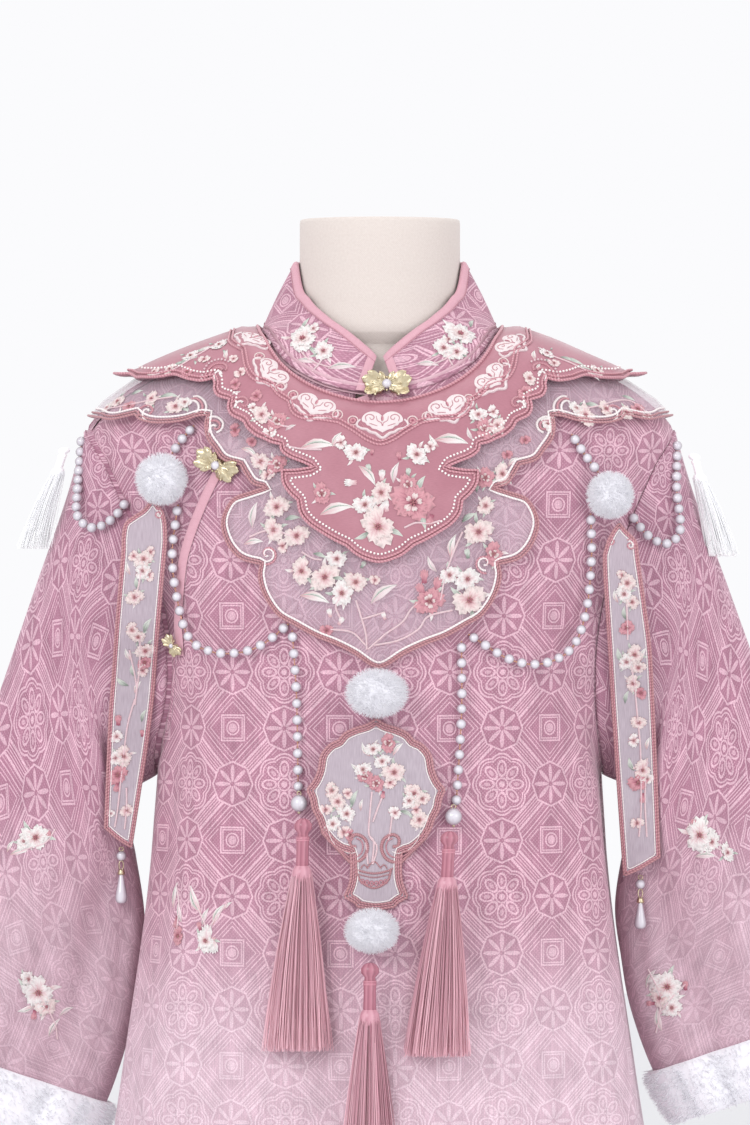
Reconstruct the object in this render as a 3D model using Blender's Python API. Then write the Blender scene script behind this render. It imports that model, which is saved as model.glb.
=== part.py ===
"""A hanfu robe with a cloud collar, standing on a limbless dress form.

Sizes are millimetres. +X is the viewer's right, -Y the robe's front, +Z up, and the
foot of the dress form stands on z = 0. The wearer's right is the viewer's left.
"""
import math
from collections import namedtuple

import bmesh
import bpy
import numpy as np
from mathutils import Vector, geometry
from mathutils.bvhtree import BVHTree

MM = 0.001

# Driving dimensions
CLOTH = 1.5            # thickness of the robe's cloth wall
ORGANZA = 1.0          # thickness of the cloud collar's lower layer, ribbons and pendant
SATIN = 1.2            # thickness of the cloud collar's upper layer
SEAM = 0.4             # gap kept at each seam, on each side of it
UNDER_STEP = 3.0       # how far the under front lies inside the over front
NECK_LIFT = 4.2         # both layers' height over the robe at the neckline
NECK_EASE = 11.0        # distance from the neckline in which a layer lifts
NECK_TOP_Z = 1450.0    # top of the dress form's neck
SHOULDER_Z = 1309.0    # shoulder point
UNDERARM_Z = 1078.0    # bottom of the armhole
HEM_Z = 560.0          # hem of the robe, 816 mm below the side of the neck
NECK_SIDE_Z = 1376.0   # side of the robe's neckline
NECK_BACK_Z = 1381.0   # back of the robe's neckline
PEARL = 3.3            # radius of a pearl
SEAT = 0.6             # gap between a hanging piece and what it lies on
FORM_DROP = 7.0        # the form's shoulders lie this much below the robe's outer face
SHOULDER_ROWS = (1318, 1332, 1345, 1356, 1365)  # heights of the form's shoulder sections
BASE_RADIUS = 190.0    # round foot of the dress form
BASE_HEIGHT = 22.0
POLE_RADIUS = 14.0

# Each row is one level section of the robe: half width, depth in front of and behind the
# shoulder line, size of the hanging folds, and how far the cloth tucks in at the side.
BodySection = namedtuple("BodySection", "z half_width front back fold tuck")
BODY = [
    BodySection(560, 243, 172, 164, 11.0, 20),
    BodySection(720, 218, 152, 144, 8.5, 24),
    BodySection(880, 193, 136, 128, 6.0, 26),
    BodySection(1040, 167, 124, 114, 4.0, 18),
    BodySection(1130, 157, 118, 107, 2.6, 5),
    BodySection(1190, 168, 115, 102, 1.5, 0),
    BodySection(1235, 183, 111, 98, 0.6, 0),
    BodySection(1285, 195, 102, 90, 0.0, 0),
    BodySection(1309, 197, 94, 83, 0.0, 0),
    BodySection(1326, 182, 86, 77, 0.0, 0),
    BodySection(1344, 155, 77, 71, 0.0, 0),
    BodySection(1359, 120, 70, 66, 0.0, 0),
    BodySection(1376, 75, 62, 62, 0.0, 0),
    BodySection(1390, 62, 58, 60, 0.0, 0),
]
TUCK_WIDTH = 0.32      # how much of the side is drawn in, as the sine of the angle
ARMHOLE_FRONT = 56.0   # how far the armhole reaches forward of the shoulder line
ARMHOLE_BACK = 50.0
RIDGE_STEPS = 3        # rows of the panels from the neck to the shoulder point
ARMHOLE_STEPS = 10     # rows along the armhole
SKIRT_STEPS = 7        # rows below the underarm
FRONT_COLUMNS = 22
UNDER_COLUMNS = 10     # the under front shares this many of the front's columns
BACK_COLUMNS = 18

# The front neckline: place across the front (0 centre, 1 side of the neck) and height.
NeckPoint = namedtuple("NeckPoint", "across z")
NECKLINE = [
    NeckPoint(0.0, 1334), NeckPoint(0.05, 1335), NeckPoint(0.138, 1340), NeckPoint(0.226, 1348),
    NeckPoint(0.395, 1362), NeckPoint(0.66, 1372.5), NeckPoint(1.0, 1376),
]

# The slanted front edge of the over front: place across the front (0 centre, -1 side seam)
# and height.
PlacketPoint = namedtuple("PlacketPoint", "across z")
PLACKET = [
    PlacketPoint(-1.0, 1066), PlacketPoint(-0.86, 1082), PlacketPoint(-0.74, 1105),
    PlacketPoint(-0.665, 1150), PlacketPoint(-0.63, 1178), PlacketPoint(-0.531, 1222),
    PlacketPoint(-0.374, 1284), PlacketPoint(-0.18, 1314), PlacketPoint(0.0, 1334),
]

PLACKET_END = -0.655   # where the placket's binding goes out of sight under the ribbon

# Each row is one ring of a sleeve: its outer and inner edge, how deep it is from front to
# back, and the size of its long folds. The first ring is the armhole itself.
SleeveSection = namedtuple("SleeveSection", "outer_x outer_z inner_x inner_z depth fold")
SLEEVE = [
    SleeveSection(211, 1266, 171, 1064, 47, 1.5),
    SleeveSection(231, 1212, 164, 1030, 42, 3.5),
    SleeveSection(254, 1148, 158, 990, 38, 5.5),
    SleeveSection(279, 1078, 162, 955, 36, 6.5),
    SleeveSection(304, 1008, 168, 922, 35, 6.5),
    SleeveSection(330, 935, 182, 882, 34, 5.5),
    SleeveSection(345, 893, 202, 845, 34, 4.5),
]
CUFF_ROOM = 1.4
CUFF_THICK = 10.0
LEFT_SLEEVE_DROP = 24.0   # the wearer's right sleeve hangs this much lower

# Front edge of the stand collar's top, by distance from the slit, and its height.
CollarTop = namedtuple("CollarTop", "x z")
COLLAR_TOP = [
    CollarTop(0.0, 1354), CollarTop(4.6, 1359.5), CollarTop(11.9, 1366), CollarTop(21.1, 1373.5),
    CollarTop(35.6, 1384), CollarTop(47.5, 1396), CollarTop(54.1, 1408), CollarTop(56.5, 1421.6),
]
COLLAR_SLIT = 0.012     # half of the front slit, as a share of half a turn
COLLAR_BACK_Z = 1430.0
COLLAR_TOP_HALF = 56.8
COLLAR_TOP_FRONT = 60.5
COLLAR_TOP_BACK = 61.0
BINDING = 6.0          # width of the plain pink binding strips

# Outlines of the cloud collar, one quarter each: from the shoulder tip to the front centre.
EdgePoint = namedtuple("EdgePoint", "x z")
CLOUD_NECK = [
    EdgePoint(80, 1376), EdgePoint(76.6, 1366.8), EdgePoint(64.5, 1349), EdgePoint(46.2, 1335.1),
    EdgePoint(23.1, 1326.5), EdgePoint(0, 1323.5),
]
UPPER_EDGE = [
    EdgePoint(177, 1342), EdgePoint(163, 1338), EdgePoint(138.6, 1335), EdgePoint(109, 1338),
    EdgePoint(104.9, 1331), EdgePoint(97.7, 1322.6), EdgePoint(96.5, 1313), EdgePoint(83.8, 1301.5),
    EdgePoint(70, 1293), EdgePoint(60, 1291), EdgePoint(41.6, 1282), EdgePoint(52.8, 1277.5),
    EdgePoint(63.5, 1277.7), EdgePoint(62, 1269.8), EdgePoint(55, 1257), EdgePoint(46.5, 1245),
    EdgePoint(35.5, 1235.5), EdgePoint(20.5, 1229.5), EdgePoint(11, 1223.5), EdgePoint(0, 1219.5),
]
LOWER_EDGE = [
    EdgePoint(195, 1319), EdgePoint(182, 1312), EdgePoint(158.4, 1312), EdgePoint(138.6, 1308),
    EdgePoint(125.4, 1310), EdgePoint(114, 1312), EdgePoint(112.5, 1302), EdgePoint(102.3, 1290.9),
    EdgePoint(88, 1285), EdgePoint(73.3, 1268.5), EdgePoint(89, 1263), EdgePoint(98, 1252),
    EdgePoint(100.5, 1241), EdgePoint(96, 1229), EdgePoint(87, 1221.5), EdgePoint(76, 1217.5),
    EdgePoint(74, 1205), EdgePoint(66.5, 1190), EdgePoint(52, 1180), EdgePoint(37, 1174.1),
    EdgePoint(17, 1163.5), EdgePoint(0, 1151.6),
]
# Each layer: outline, size of its neckline against the upper one's, how deep its neckline
# is behind against in front, its inner face above the robe, its thickness and colour.
CloudLayer = namedtuple("CloudLayer", "edge neck_scale back_neck lift thick slot")
CLOUD_LAYERS = {
    "cloud_lower": CloudLayer(LOWER_EDGE, 1.12, 0.50, 4.4, ORGANZA, "organza_lilac"),
    "cloud_upper": CloudLayer(UPPER_EDGE, 1.0, 0.36, 8.6, SATIN, "satin_rose"),
}
CLOUD_GRID = 17.0      # spacing of the cloud collar's inner mesh points

# Pearl strings: their route as seen from the front. A route is a few chosen points.
RoutePoint = namedtuple("RoutePoint", "x z")
STRINGS = {
    "swag_shoulder_left": [
        RoutePoint(-200, 1303), RoutePoint(-202, 1270), RoutePoint(-201.5, 1251),
        RoutePoint(-191, 1243), RoutePoint(-178, 1249), RoutePoint(-169, 1260),
    ],
    "swag_upper_left": [RoutePoint(-136.5, 1294), RoutePoint(-130, 1303), RoutePoint(-124.5, 1309)],
    "swag_left": [
        RoutePoint(-134, 1256), RoutePoint(-137.5, 1225), RoutePoint(-134, 1195),
        RoutePoint(-126, 1170), RoutePoint(-110, 1161), RoutePoint(-91, 1161),
        RoutePoint(-76, 1167), RoutePoint(-62, 1178),
    ],
    "string_left": [RoutePoint(-57.6, 1173), RoutePoint(-54.8, 1130), RoutePoint(-53.7, 1071)],
    "swag_shoulder_right": [
        RoutePoint(199, 1300), RoutePoint(198, 1270), RoutePoint(200, 1242), RoutePoint(191, 1232.5),
        RoutePoint(178, 1238), RoutePoint(167.5, 1251),
    ],
    "swag_upper_right": [RoutePoint(128, 1303), RoutePoint(135, 1292), RoutePoint(143, 1281.5)],
    "swag_right": [
        RoutePoint(139.5, 1250), RoutePoint(139.9, 1222), RoutePoint(136.5, 1188),
        RoutePoint(127, 1164), RoutePoint(108, 1153.5), RoutePoint(86, 1156), RoutePoint(60, 1171.5),
    ],
    "string_right": [RoutePoint(53.5, 1166), RoutePoint(53.5, 1120), RoutePoint(50, 1062)],
}
STRING_SIDES = 5
STRING_STEP = 10.5     # distance between the sections of a pearl string

# Tassels: top and bottom of each, head and skirt radius, strands round the neck, colour, and
# where the string hangs that carries one beside the sleeve.
TasselSize = namedtuple("TasselSize", "x top_z bottom_x bottom_z head skirt sides colour carrier_x")
TASSELS = {
    "tassel_left": TasselSize(-50.2, 1052.5, -54.0, 900, 6.0, 22.0, 15, "silk_pink", 0),
    "tassel_right": TasselSize(45.5, 1044.5, 37.5, 897, 6.0, 22.0, 15, "silk_pink", 0),
    "tassel_centre": TasselSize(-6.5, 959, -8.0, 808, 6.0, 20.0, 15, "silk_pink", 0),
    "tassel_shoulder_left": TasselSize(-211, 1297, -232, 1229, 4.0, 11.0, 11, "silk_white", -200),
    "tassel_shoulder_right": TasselSize(210, 1293, 229, 1224, 4.0, 11.0, 11, "silk_white", 199),
}

# Big pearls over the tassels, and drops under the ribbons.
BIG_PEARL = 5.6
BIG_PEARLS = {"pearl_big_left": RoutePoint(-53.1, 1061.9), "pearl_big_right": RoutePoint(48.2, 1053.3)}
DropPlace = namedtuple("DropPlace", "x top_z bottom_z")
DROPS = {"drop_left": DropPlace(-172.9, 1029, 991.9), "drop_right": DropPlace(174.2, 1010, 974.8)}

# Pompoms: place and radius across and up.
PompomSize = namedtuple("PompomSize", "x z across up")
POMPOMS = {
    "pompom_left": PompomSize(-144.5, 1275, 18.0, 18.0),
    "pompom_right": PompomSize(152.2, 1264.5, 16.5, 16.5),
    "pompom_centre": PompomSize(-2.0, 1134.5, 21.5, 17.0),
    "pompom_low": PompomSize(-5.3, 979.4, 18.8, 15.5),
}

# Outlines of the flat hanging pieces, as seen from the front, clockwise from the top point.
RIBBON_LEFT = [
    EdgePoint(-150.5, 1264.5), EdgePoint(-145.5, 1257), EdgePoint(-141.5, 1248), EdgePoint(-141.5, 1225),
    EdgePoint(-148, 1156), EdgePoint(-152.5, 1112), EdgePoint(-165.3, 1028.9), EdgePoint(-184.1, 1042.7),
    EdgePoint(-181, 1112), EdgePoint(-177.5, 1156), EdgePoint(-171.5, 1222), EdgePoint(-170.3, 1243),
    EdgePoint(-163, 1252), EdgePoint(-155.5, 1257),
]
RIBBON_RIGHT = [
    EdgePoint(158.4, 1247.3), EdgePoint(163.5, 1241), EdgePoint(170, 1234), EdgePoint(171.8, 1222),
    EdgePoint(180.8, 1155.6), EdgePoint(184.5, 1090), EdgePoint(187.4, 1023), EdgePoint(162.4, 1009.7),
    EdgePoint(156.5, 1090), EdgePoint(151.8, 1155.6), EdgePoint(147.6, 1216), EdgePoint(148.5, 1229),
    EdgePoint(153, 1240),
]
PENDANT_HALF = [
    EdgePoint(0, 1118.6), EdgePoint(19, 1111.5), EdgePoint(29, 1103), EdgePoint(37, 1095),
    EdgePoint(41, 1081), EdgePoint(46.3, 1071.1), EdgePoint(43, 1061), EdgePoint(37.5, 1047),
    EdgePoint(28, 1036), EdgePoint(16.5, 1029.5), EdgePoint(17.5, 1012), EdgePoint(21.5, 1000.5),
    EdgePoint(14, 995), EdgePoint(0, 993.5),
]
PENDANT_X = -2.6

# Clasps: centre, half length, tilt in degrees (turned about the line of sight).
ClaspPlace = namedtuple("ClaspPlace", "x z half_length tilt")
CLASPS = {
    "clasp_collar": ClaspPlace(4.5, 1338, 18.0, 0.0),
    "clasp_placket": ClaspPlace(-108.2, 1283.6, 17.0, -27.0),
    "clasp_side": ClaspPlace(-138.5, 1165, 9.0, -55.0),
}

COLOURS = {
    "robe_pink": (0.56, 0.27, 0.37), "binding_pink": (0.72, 0.42, 0.48), "satin_rose": (0.46, 0.19, 0.25),
    "organza_lilac": (0.58, 0.47, 0.55), "silk_pink": (0.62, 0.30, 0.36), "silk_white": (0.86, 0.85, 0.87),
    "fur_white": (0.88, 0.87, 0.88), "pearl": (0.85, 0.82, 0.82), "gold": (0.75, 0.55, 0.25),
    "linen": (0.78, 0.73, 0.66), "foot_white": (0.80, 0.79, 0.77),
}


# ---------------------------------------------------------------- surfaces
def table_value(rows, key, column, at):
    """Smooth value of one column of a table at a place along its key column."""
    keys = np.array([getattr(row, key) for row in rows], dtype=float)
    values = np.array([getattr(row, column) for row in rows], dtype=float)
    slopes = np.gradient(values, keys)
    at = min(max(at, keys[0]), keys[-1])
    i = min(int(np.searchsorted(keys, at, side="right")) - 1, len(keys) - 2)
    span = keys[i + 1] - keys[i]
    t = (at - keys[i]) / span
    low, high = values[i], values[i + 1]
    return (low * (1 + 2 * t) * (1 - t) ** 2 + high * t * t * (3 - 2 * t)
            + span * t * (1 - t) * (slopes[i] * (1 - t) - slopes[i + 1] * t))


def body_point(angle, z):
    """Outer face of the robe. Angle 0 is the viewer's right, 90 degrees the front."""
    width = table_value(BODY, "z", "half_width", z)
    depth = table_value(BODY, "z", "front" if math.sin(angle) >= 0 else "back", z)
    fold = table_value(BODY, "z", "fold", z)
    tuck = table_value(BODY, "z", "tuck", z)
    wave = 0.62 * math.cos(8 * angle + 0.9) + 0.38 * math.cos(13 * angle + 2.1 + z / 260)
    near_side = math.exp(-(math.sin(angle) / TUCK_WIDTH) ** 2)
    outward = Vector((math.cos(angle) / width, -math.sin(angle) / depth, 0)).normalized()
    base = Vector((width * math.cos(angle), -depth * math.sin(angle), z))
    return base + outward * (fold * wave * (1 - near_side) - tuck * near_side)


def body_normal(angle, z):
    """Unit normal of the robe's outer face, by small differences."""
    step_angle, step_z = 0.01, 1.0
    across = body_point(angle + step_angle, z) - body_point(angle - step_angle, z)
    up = body_point(angle, z + step_z) - body_point(angle, z - step_z)
    return up.cross(across).normalized()


def armhole_angle(z, reach, depth_column):
    """Angle of the armhole's edge away from the side, 0 where there is no armhole."""
    gap = SEAM / table_value(BODY, "z", depth_column, z)
    if not UNDERARM_Z < z < SHOULDER_Z:
        return gap
    share = (SHOULDER_Z - z) / (SHOULDER_Z - UNDERARM_Z)
    edge = reach * (4 * share * (1 - share)) ** 0.5
    return max(gap, math.asin(edge / table_value(BODY, "z", depth_column, z)))


def front_angle(across, z):
    """Angle of a place across the front: 1 viewer's right side, -1 viewer's left."""
    return math.pi / 2 - across * (math.pi / 2 - armhole_angle(z, ARMHOLE_FRONT, "front"))


def over_angle(across, z):
    """Angle on the over front, whose lapping side stays clear of the armhole."""
    if across >= 0:
        return front_angle(across, z)
    gap = SEAM / table_value(BODY, "z", "front", z)
    return math.pi / 2 - across * (math.pi / 2 - gap)


def back_angle(across, z):
    return -math.pi / 2 + across * (math.pi / 2 - armhole_angle(z, ARMHOLE_BACK, "back"))


def side_heights():
    """Heights of the panel rows along the side column, from the neck to the hem."""
    ridge = np.linspace(NECK_SIDE_Z, SHOULDER_Z, RIDGE_STEPS, endpoint=False)
    armhole = np.linspace(SHOULDER_Z, UNDERARM_Z, ARMHOLE_STEPS, endpoint=False)
    skirt = UNDERARM_Z - (UNDERARM_Z - HEM_Z) * np.linspace(0, 1, SKIRT_STEPS + 1) ** 1.15
    return [float(z) for z in (*ridge, *armhole, *skirt)]


def neck_front_z(across):
    return table_value(NECKLINE, "across", "z", abs(across))


def neck_back_z(across):
    return NECK_SIDE_Z + (NECK_BACK_Z - NECK_SIDE_Z) * (1 - across ** 2)


def placket_z(across):
    places = [p.across for p in PLACKET]
    return float(np.interp(across, places, [p.z for p in PLACKET]))


# ---------------------------------------------------------------- meshes
def material(slot):
    found = bpy.data.materials.get(slot)
    if found:
        return found
    made = bpy.data.materials.new(slot)
    made.use_nodes = True
    shader = made.node_tree.nodes["Principled BSDF"]
    shader.inputs["Base Color"].default_value = (*COLOURS[slot], 1)
    shader.inputs["Metallic"].default_value = 1.0 if slot == "gold" else 0.0
    shader.inputs["Roughness"].default_value = {"gold": 0.3, "pearl": 0.25}.get(slot, 0.75)
    return made


def add_object(name, bm, slot):
    """Turns a bmesh in millimetres into an object in metres."""
    bmesh.ops.recalc_face_normals(bm, faces=bm.faces)
    bmesh.ops.triangulate(bm, faces=bm.faces)
    bmesh.ops.scale(bm, vec=(MM, MM, MM), verts=bm.verts)
    mesh = bpy.data.meshes.new(name)
    bm.to_mesh(mesh)
    bm.free()
    mesh.shade_smooth()
    mesh.materials.append(material(slot))
    made = bpy.data.objects.new(name, mesh)
    bpy.context.scene.collection.objects.link(made)
    return made


def wall_mesh(points, normals, faces, low, high):
    """Bmesh of a cloth wall: the sheet moved out by low and by high, closed round its edges.

    low and high are distances along the normals, one number or one for each point.
    """
    count = len(points)
    lows = low if isinstance(low, list) else [low] * count
    highs = high if isinstance(high, list) else [high] * count
    bm = bmesh.new()
    outer = [bm.verts.new(p + n * h) for p, n, h in zip(points, normals, highs)]
    inner = [bm.verts.new(p + n * h) for p, n, h in zip(points, normals, lows)]
    uses = {}
    for face in faces:
        bm.faces.new([outer[i] for i in face])
        bm.faces.new([inner[i] for i in reversed(face)])
        for a, b in zip(face, (*face[1:], face[0])):
            uses[(a, b)] = True
    for a, b in uses:
        if (b, a) not in uses:
            bm.faces.new((outer[b], outer[a], inner[a], inner[b]))
    return bm


def wall(name, points, normals, faces, low, high, slot):
    return add_object(name, wall_mesh(points, normals, faces, low, high), slot)


def grid_faces(rows, columns, closed=False):
    """Quads of a grid whose points are listed row by row."""
    span = columns if closed else columns - 1
    faces = []
    for r in range(rows - 1):
        for c in range(span):
            d = (c + 1) % columns
            faces.append((r * columns + c, (r + 1) * columns + c, (r + 1) * columns + d, r * columns + d))
    return faces


def mesh_normals(points, faces):
    """Area-weighted normals of a sheet."""
    sums = [Vector() for _ in points]
    for face in faces:
        a, b, c = (points[i] for i in face[:3])
        normal = (b - a).cross(c - a)
        if len(face) == 4:
            normal = (points[face[2]] - a).cross(points[face[3]] - b)
        for i in face:
            sums[i] += normal
    return [n.normalized() for n in sums]


def lathe_mesh(profile, sides, centre=(0, 0)):
    """Bmesh of a turned piece closed at both ends: profile rows are radius and height."""
    bm = bmesh.new()
    rings = []
    for radius, z in profile:
        turns = [2 * math.pi * i / sides for i in range(sides)]
        rings.append([bm.verts.new((centre[0] + radius * math.cos(t),
                                    centre[1] + radius * math.sin(t), z)) for t in turns])
    for low, high in zip(rings, rings[1:]):
        for i in range(sides):
            j = (i + 1) % sides
            bm.faces.new((low[i], low[j], high[j], high[i]))
    bm.faces.new(rings[0])
    bm.faces.new(rings[-1])
    return bm


# ---------------------------------------------------------------- robe panels
def body_panel(name, columns, top_z, angle_of, low, high):
    """A panel of the robe from its top edge to the hem; columns are places across."""
    side = side_heights()
    points, normals = [], []
    for z_side in side:
        share = (z_side - HEM_Z) / (NECK_SIDE_Z - HEM_Z)
        for across in columns:
            z = HEM_Z + (top_z(across) - HEM_Z) * share
            angle = angle_of(across, z)
            points.append(body_point(angle, z))
            normals.append(body_normal(angle, z))
    faces = grid_faces(len(side), len(columns))
    return wall(name, points, normals, faces, low, high, "robe_pink")


def front_columns():
    """Places across the front, a little closer together at the sides."""
    return [0.35 * math.sin(math.pi / 2 * v) + 0.65 * v for v in np.linspace(-1, 1, FRONT_COLUMNS)]


def build_front_over():
    columns = front_columns()
    body_panel("front_over", columns, lambda a: neck_front_z(a) if a >= 0 else placket_z(a),
               over_angle, -CLOTH, 0.0)


def build_front_under():
    columns = front_columns()[:UNDER_COLUMNS]
    body_panel("front_under", columns, neck_front_z, front_angle, -UNDER_STEP - CLOTH, -UNDER_STEP)


def build_back():
    columns = [float(v) for v in np.linspace(-1, 1, BACK_COLUMNS)]
    body_panel("back", columns, neck_back_z, back_angle, -CLOTH, 0.0)


def armhole_ring(side):
    """The armhole's points: down its front edge, then up its back edge."""
    heights = list(np.linspace(SHOULDER_Z, UNDERARM_Z, ARMHOLE_STEPS + 1))
    front = [(front_angle(side, z), z) for z in heights]
    back = [(back_angle(side, z), z) for z in heights[-2:0:-1]]
    points = []
    for angle, z in front + back:
        point = body_point(angle, z)
        if z in (SHOULDER_Z, UNDERARM_Z):
            point.y = 0
        points.append(point + Vector((side * 2 * SEAM, 0, 0)))
    return points


def sleeve_points(side):
    """All rings of one sleeve, the armhole first. side is 1 for the viewer's right."""
    points = armhole_ring(side)
    drop = LEFT_SLEEVE_DROP if side < 0 else 0.0
    count = 2 * ARMHOLE_STEPS
    for number, row in enumerate(SLEEVE):
        lower = drop * (number + 1) / len(SLEEVE)
        for k in range(count):
            share = k / ARMHOLE_STEPS if k <= ARMHOLE_STEPS else 2 - k / ARMHOLE_STEPS
            front = 1 if 0 < k < ARMHOLE_STEPS else -1
            x = row.outer_x + (row.inner_x - row.outer_x) * share
            z = row.outer_z + (row.inner_z - row.outer_z) * share - lower
            round_edge = (4 * share * (1 - share)) ** 0.5
            crease = row.fold * math.sin(math.pi * 3.4 * share + 0.5 * number + front) * round_edge
            points.append(Vector((side * x, 6 - front * (row.depth * round_edge + crease), z)))
    return points


def sleeve_sheet(side):
    points = sleeve_points(side)
    faces = grid_faces(len(SLEEVE) + 1, 2 * ARMHOLE_STEPS, closed=True)
    normals = mesh_normals(points, faces)
    if normals[0].x * side < 0:
        faces = [tuple(reversed(face)) for face in faces]
        normals = [-n for n in normals]
    return points, normals, faces


def build_sleeve(side, name):
    points, normals, faces = sleeve_sheet(side)
    wall(name, points, normals, faces, -CLOTH, 0.0, "robe_pink")


def build_cuff(side, name):
    """A thick band of fur round the end of the sleeve, rounded at both edges."""
    points, normals, _ = sleeve_sheet(side)
    count = 2 * ARMHOLE_STEPS
    upper = points[-2 * count:-count]
    end = points[-count:]
    out_upper, out_end = normals[-2 * count:-count], normals[-count:]
    steps = [(0.04, 3.0), (0.22, CUFF_THICK), (0.8, CUFF_THICK), (1.0, 4.0)]
    rings, outs, highs = [], [], []
    for share, thick in steps:
        for k in range(count):
            rings.append(upper[k].lerp(end[k], share))
            outs.append(out_upper[k].lerp(out_end[k], share).normalized())
            highs.append(thick)
    faces = grid_faces(len(steps), count, closed=True)
    if mesh_normals(rings, faces)[0].dot(outs[0]) < 0:
        faces = [tuple(reversed(face)) for face in faces]
    wall(name, rings, outs, faces, CUFF_ROOM, highs, "fur_white")


# ---------------------------------------------------------------- collar and bindings
def neck_edge(turn):
    """A point on the robe's neckline. turn is 0 at the front slit, 1 at the back centre."""
    side = 1 if turn >= 0 else -1
    share = abs(turn)
    if share <= 0.5:
        across = side * math.sin(math.pi / 2 * share * 2)
        return body_point(front_angle(across, neck_front_z(across)), neck_front_z(across))
    across = side * math.sin(math.pi / 2 * (1 - share) * 2)
    return body_point(back_angle(across, neck_back_z(across)), neck_back_z(across))


def collar_top(turn):
    """A point on the stand collar's top edge, above the same turn of the neckline."""
    angle = math.pi * turn
    front = math.cos(angle) >= 0
    depth = COLLAR_TOP_FRONT if front else COLLAR_TOP_BACK
    x = COLLAR_TOP_HALF * math.sin(angle)
    y = -depth * math.cos(angle)
    if front:
        return Vector((x, y, table_value(COLLAR_TOP, "x", "z", abs(x))))
    rise = COLLAR_BACK_Z - COLLAR_TOP[-1].z
    return Vector((x, y, COLLAR_TOP[-1].z + rise * (1 - abs(math.sin(angle)))))


def collar_point(turn, share):
    """A point on the stand collar: share 0 is the neckline seam, 1 the top edge."""
    low = neck_edge(turn)
    low = Vector((low.x * 0.985, low.y * 0.985, low.z + 1.1))
    return low.lerp(collar_top(turn), share)


def collar_turns():
    """Turns round the neck from one side of the slit, past the back, to the other side."""
    bound = COLLAR_SLIT + BINDING / (math.pi * COLLAR_TOP_FRONT)
    half = [COLLAR_SLIT, bound, 0.09, 0.15, 0.22, 0.3, 0.39, 0.48, 0.6, 0.72, 0.86]
    return half + [1.0] + [-t for t in reversed(half)]


def collar_wall(name, rows, low, high, slot):
    """A wall from rows of collar points, turned so that its faces look outwards."""
    points = [p for row in rows for p in row]
    faces = grid_faces(len(rows), len(rows[0]))
    normals = mesh_normals(points, faces)
    middle = points[len(points) // 3]
    if normals[len(points) // 3].dot(Vector((middle.x, middle.y, 0))) < 0:
        faces = [tuple(reversed(face)) for face in faces]
        normals = [-n for n in normals]
    wall(name, points, normals, faces, low, high, slot)


def binding_share(turn):
    """Share of the collar's height that lies below its top binding."""
    return 1 - BINDING / (collar_point(turn, 1.0) - collar_point(turn, 0.0)).length


def build_collar():
    rows = [[], [], [], []]
    for turn in collar_turns():
        strip = binding_share(turn)
        for row, share in zip(rows, (0.0, strip * 0.5, strip, 1.0)):
            row.append(collar_point(turn, share))
    collar_wall("collar", rows, -CLOTH, 0.0, "robe_pink")


def build_collar_binding():
    """The plain strip that covers the collar's top edge and both sides of its slit."""
    turns = collar_turns()
    rows = [[collar_point(t, 1.0), collar_point(t, binding_share(t))] for t in turns[2:-2]]
    outer, inner = turns[0], turns[1]
    for side in (1, -1):
        ends = [[collar_point(side * outer, share), collar_point(side * inner, share)]
                for share in (0.16, 0.55)]
        corner = [collar_point(side * outer, 1.0), collar_point(side * inner, binding_share(inner))]
        rows = ends + [corner] + rows if side > 0 else rows + [corner] + ends[::-1]
    collar_wall("collar_binding", rows, 0.9, 1.8, "binding_pink")


def build_placket_binding():
    points, normals = [], []
    steps = [float(v) for v in np.linspace(PLACKET_END, -0.03, 15)]
    for across in steps:
        z = placket_z(across)
        ahead = body_point(over_angle(across + 0.01, placket_z(across + 0.01)), placket_z(across + 0.01))
        here = body_point(over_angle(across, z), z)
        along = (ahead - here).normalized()
        down = Vector((along.z, 0, -along.x)).normalized() * BINDING
        for shift in (0.0, 1.0):
            target_z = z + down.z * shift
            width = table_value(BODY, "z", "half_width", target_z)
            angle = math.acos(max(-1, min(1, (here.x + down.x * shift) / width)))
            points.append(body_point(angle, target_z))
            normals.append(body_normal(angle, target_z))
    faces = grid_faces(len(steps), 2)
    if mesh_normals(points, faces)[6].dot(normals[6]) < 0:
        faces = [tuple(reversed(face)) for face in faces]
    wall("placket_binding", points, normals, faces, 0.7, 1.6, "binding_pink")


# ---------------------------------------------------------------- cloud collar
def ridge_z(x):
    """Height of the shoulder line at a distance from the centre."""
    rows = [row for row in BODY if row.z >= SHOULDER_Z and row.z <= NECK_SIDE_Z]
    widths = [row.half_width for row in reversed(rows)]
    heights = [row.z for row in reversed(rows)]
    return float(np.interp(abs(x), widths, heights))


def unfold(x, z, side):
    """Place on the collar's cutting plan: distance below the shoulder line, + in front."""
    return (x, -side * max(ridge_z(x) - z, 1.5))


def plan_outline(edge, back_share=1.0):
    """Closed outline on the cutting plan from one quarter of it; its back may be shallower."""
    front = [unfold(p.x, p.z, 1) for p in edge]
    front[0] = (edge[0].x, 0.0)
    quarter = front[1:]
    right_front = list(reversed(quarter))
    left_front = [(-x, v) for x, v in quarter[:-1]]
    left_back = [(-x, -v * back_share) for x, v in reversed(quarter)]
    right_back = [(x, -v * back_share) for x, v in quarter[:-1]]
    tip = front[0][0]
    return ([(-tip, 0.0)] + left_front + right_front + [(tip, 0.0)] + right_back + left_back)


def inside(point, outline):
    """True where a point lies inside a closed outline."""
    x, y = point
    odd = False
    for (x1, y1), (x2, y2) in zip(outline, outline[1:] + outline[:1]):
        if (y1 > y) != (y2 > y) and x < (x2 - x1) * (y - y1) / (y2 - y1) + x1:
            odd = not odd
    return odd


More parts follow.
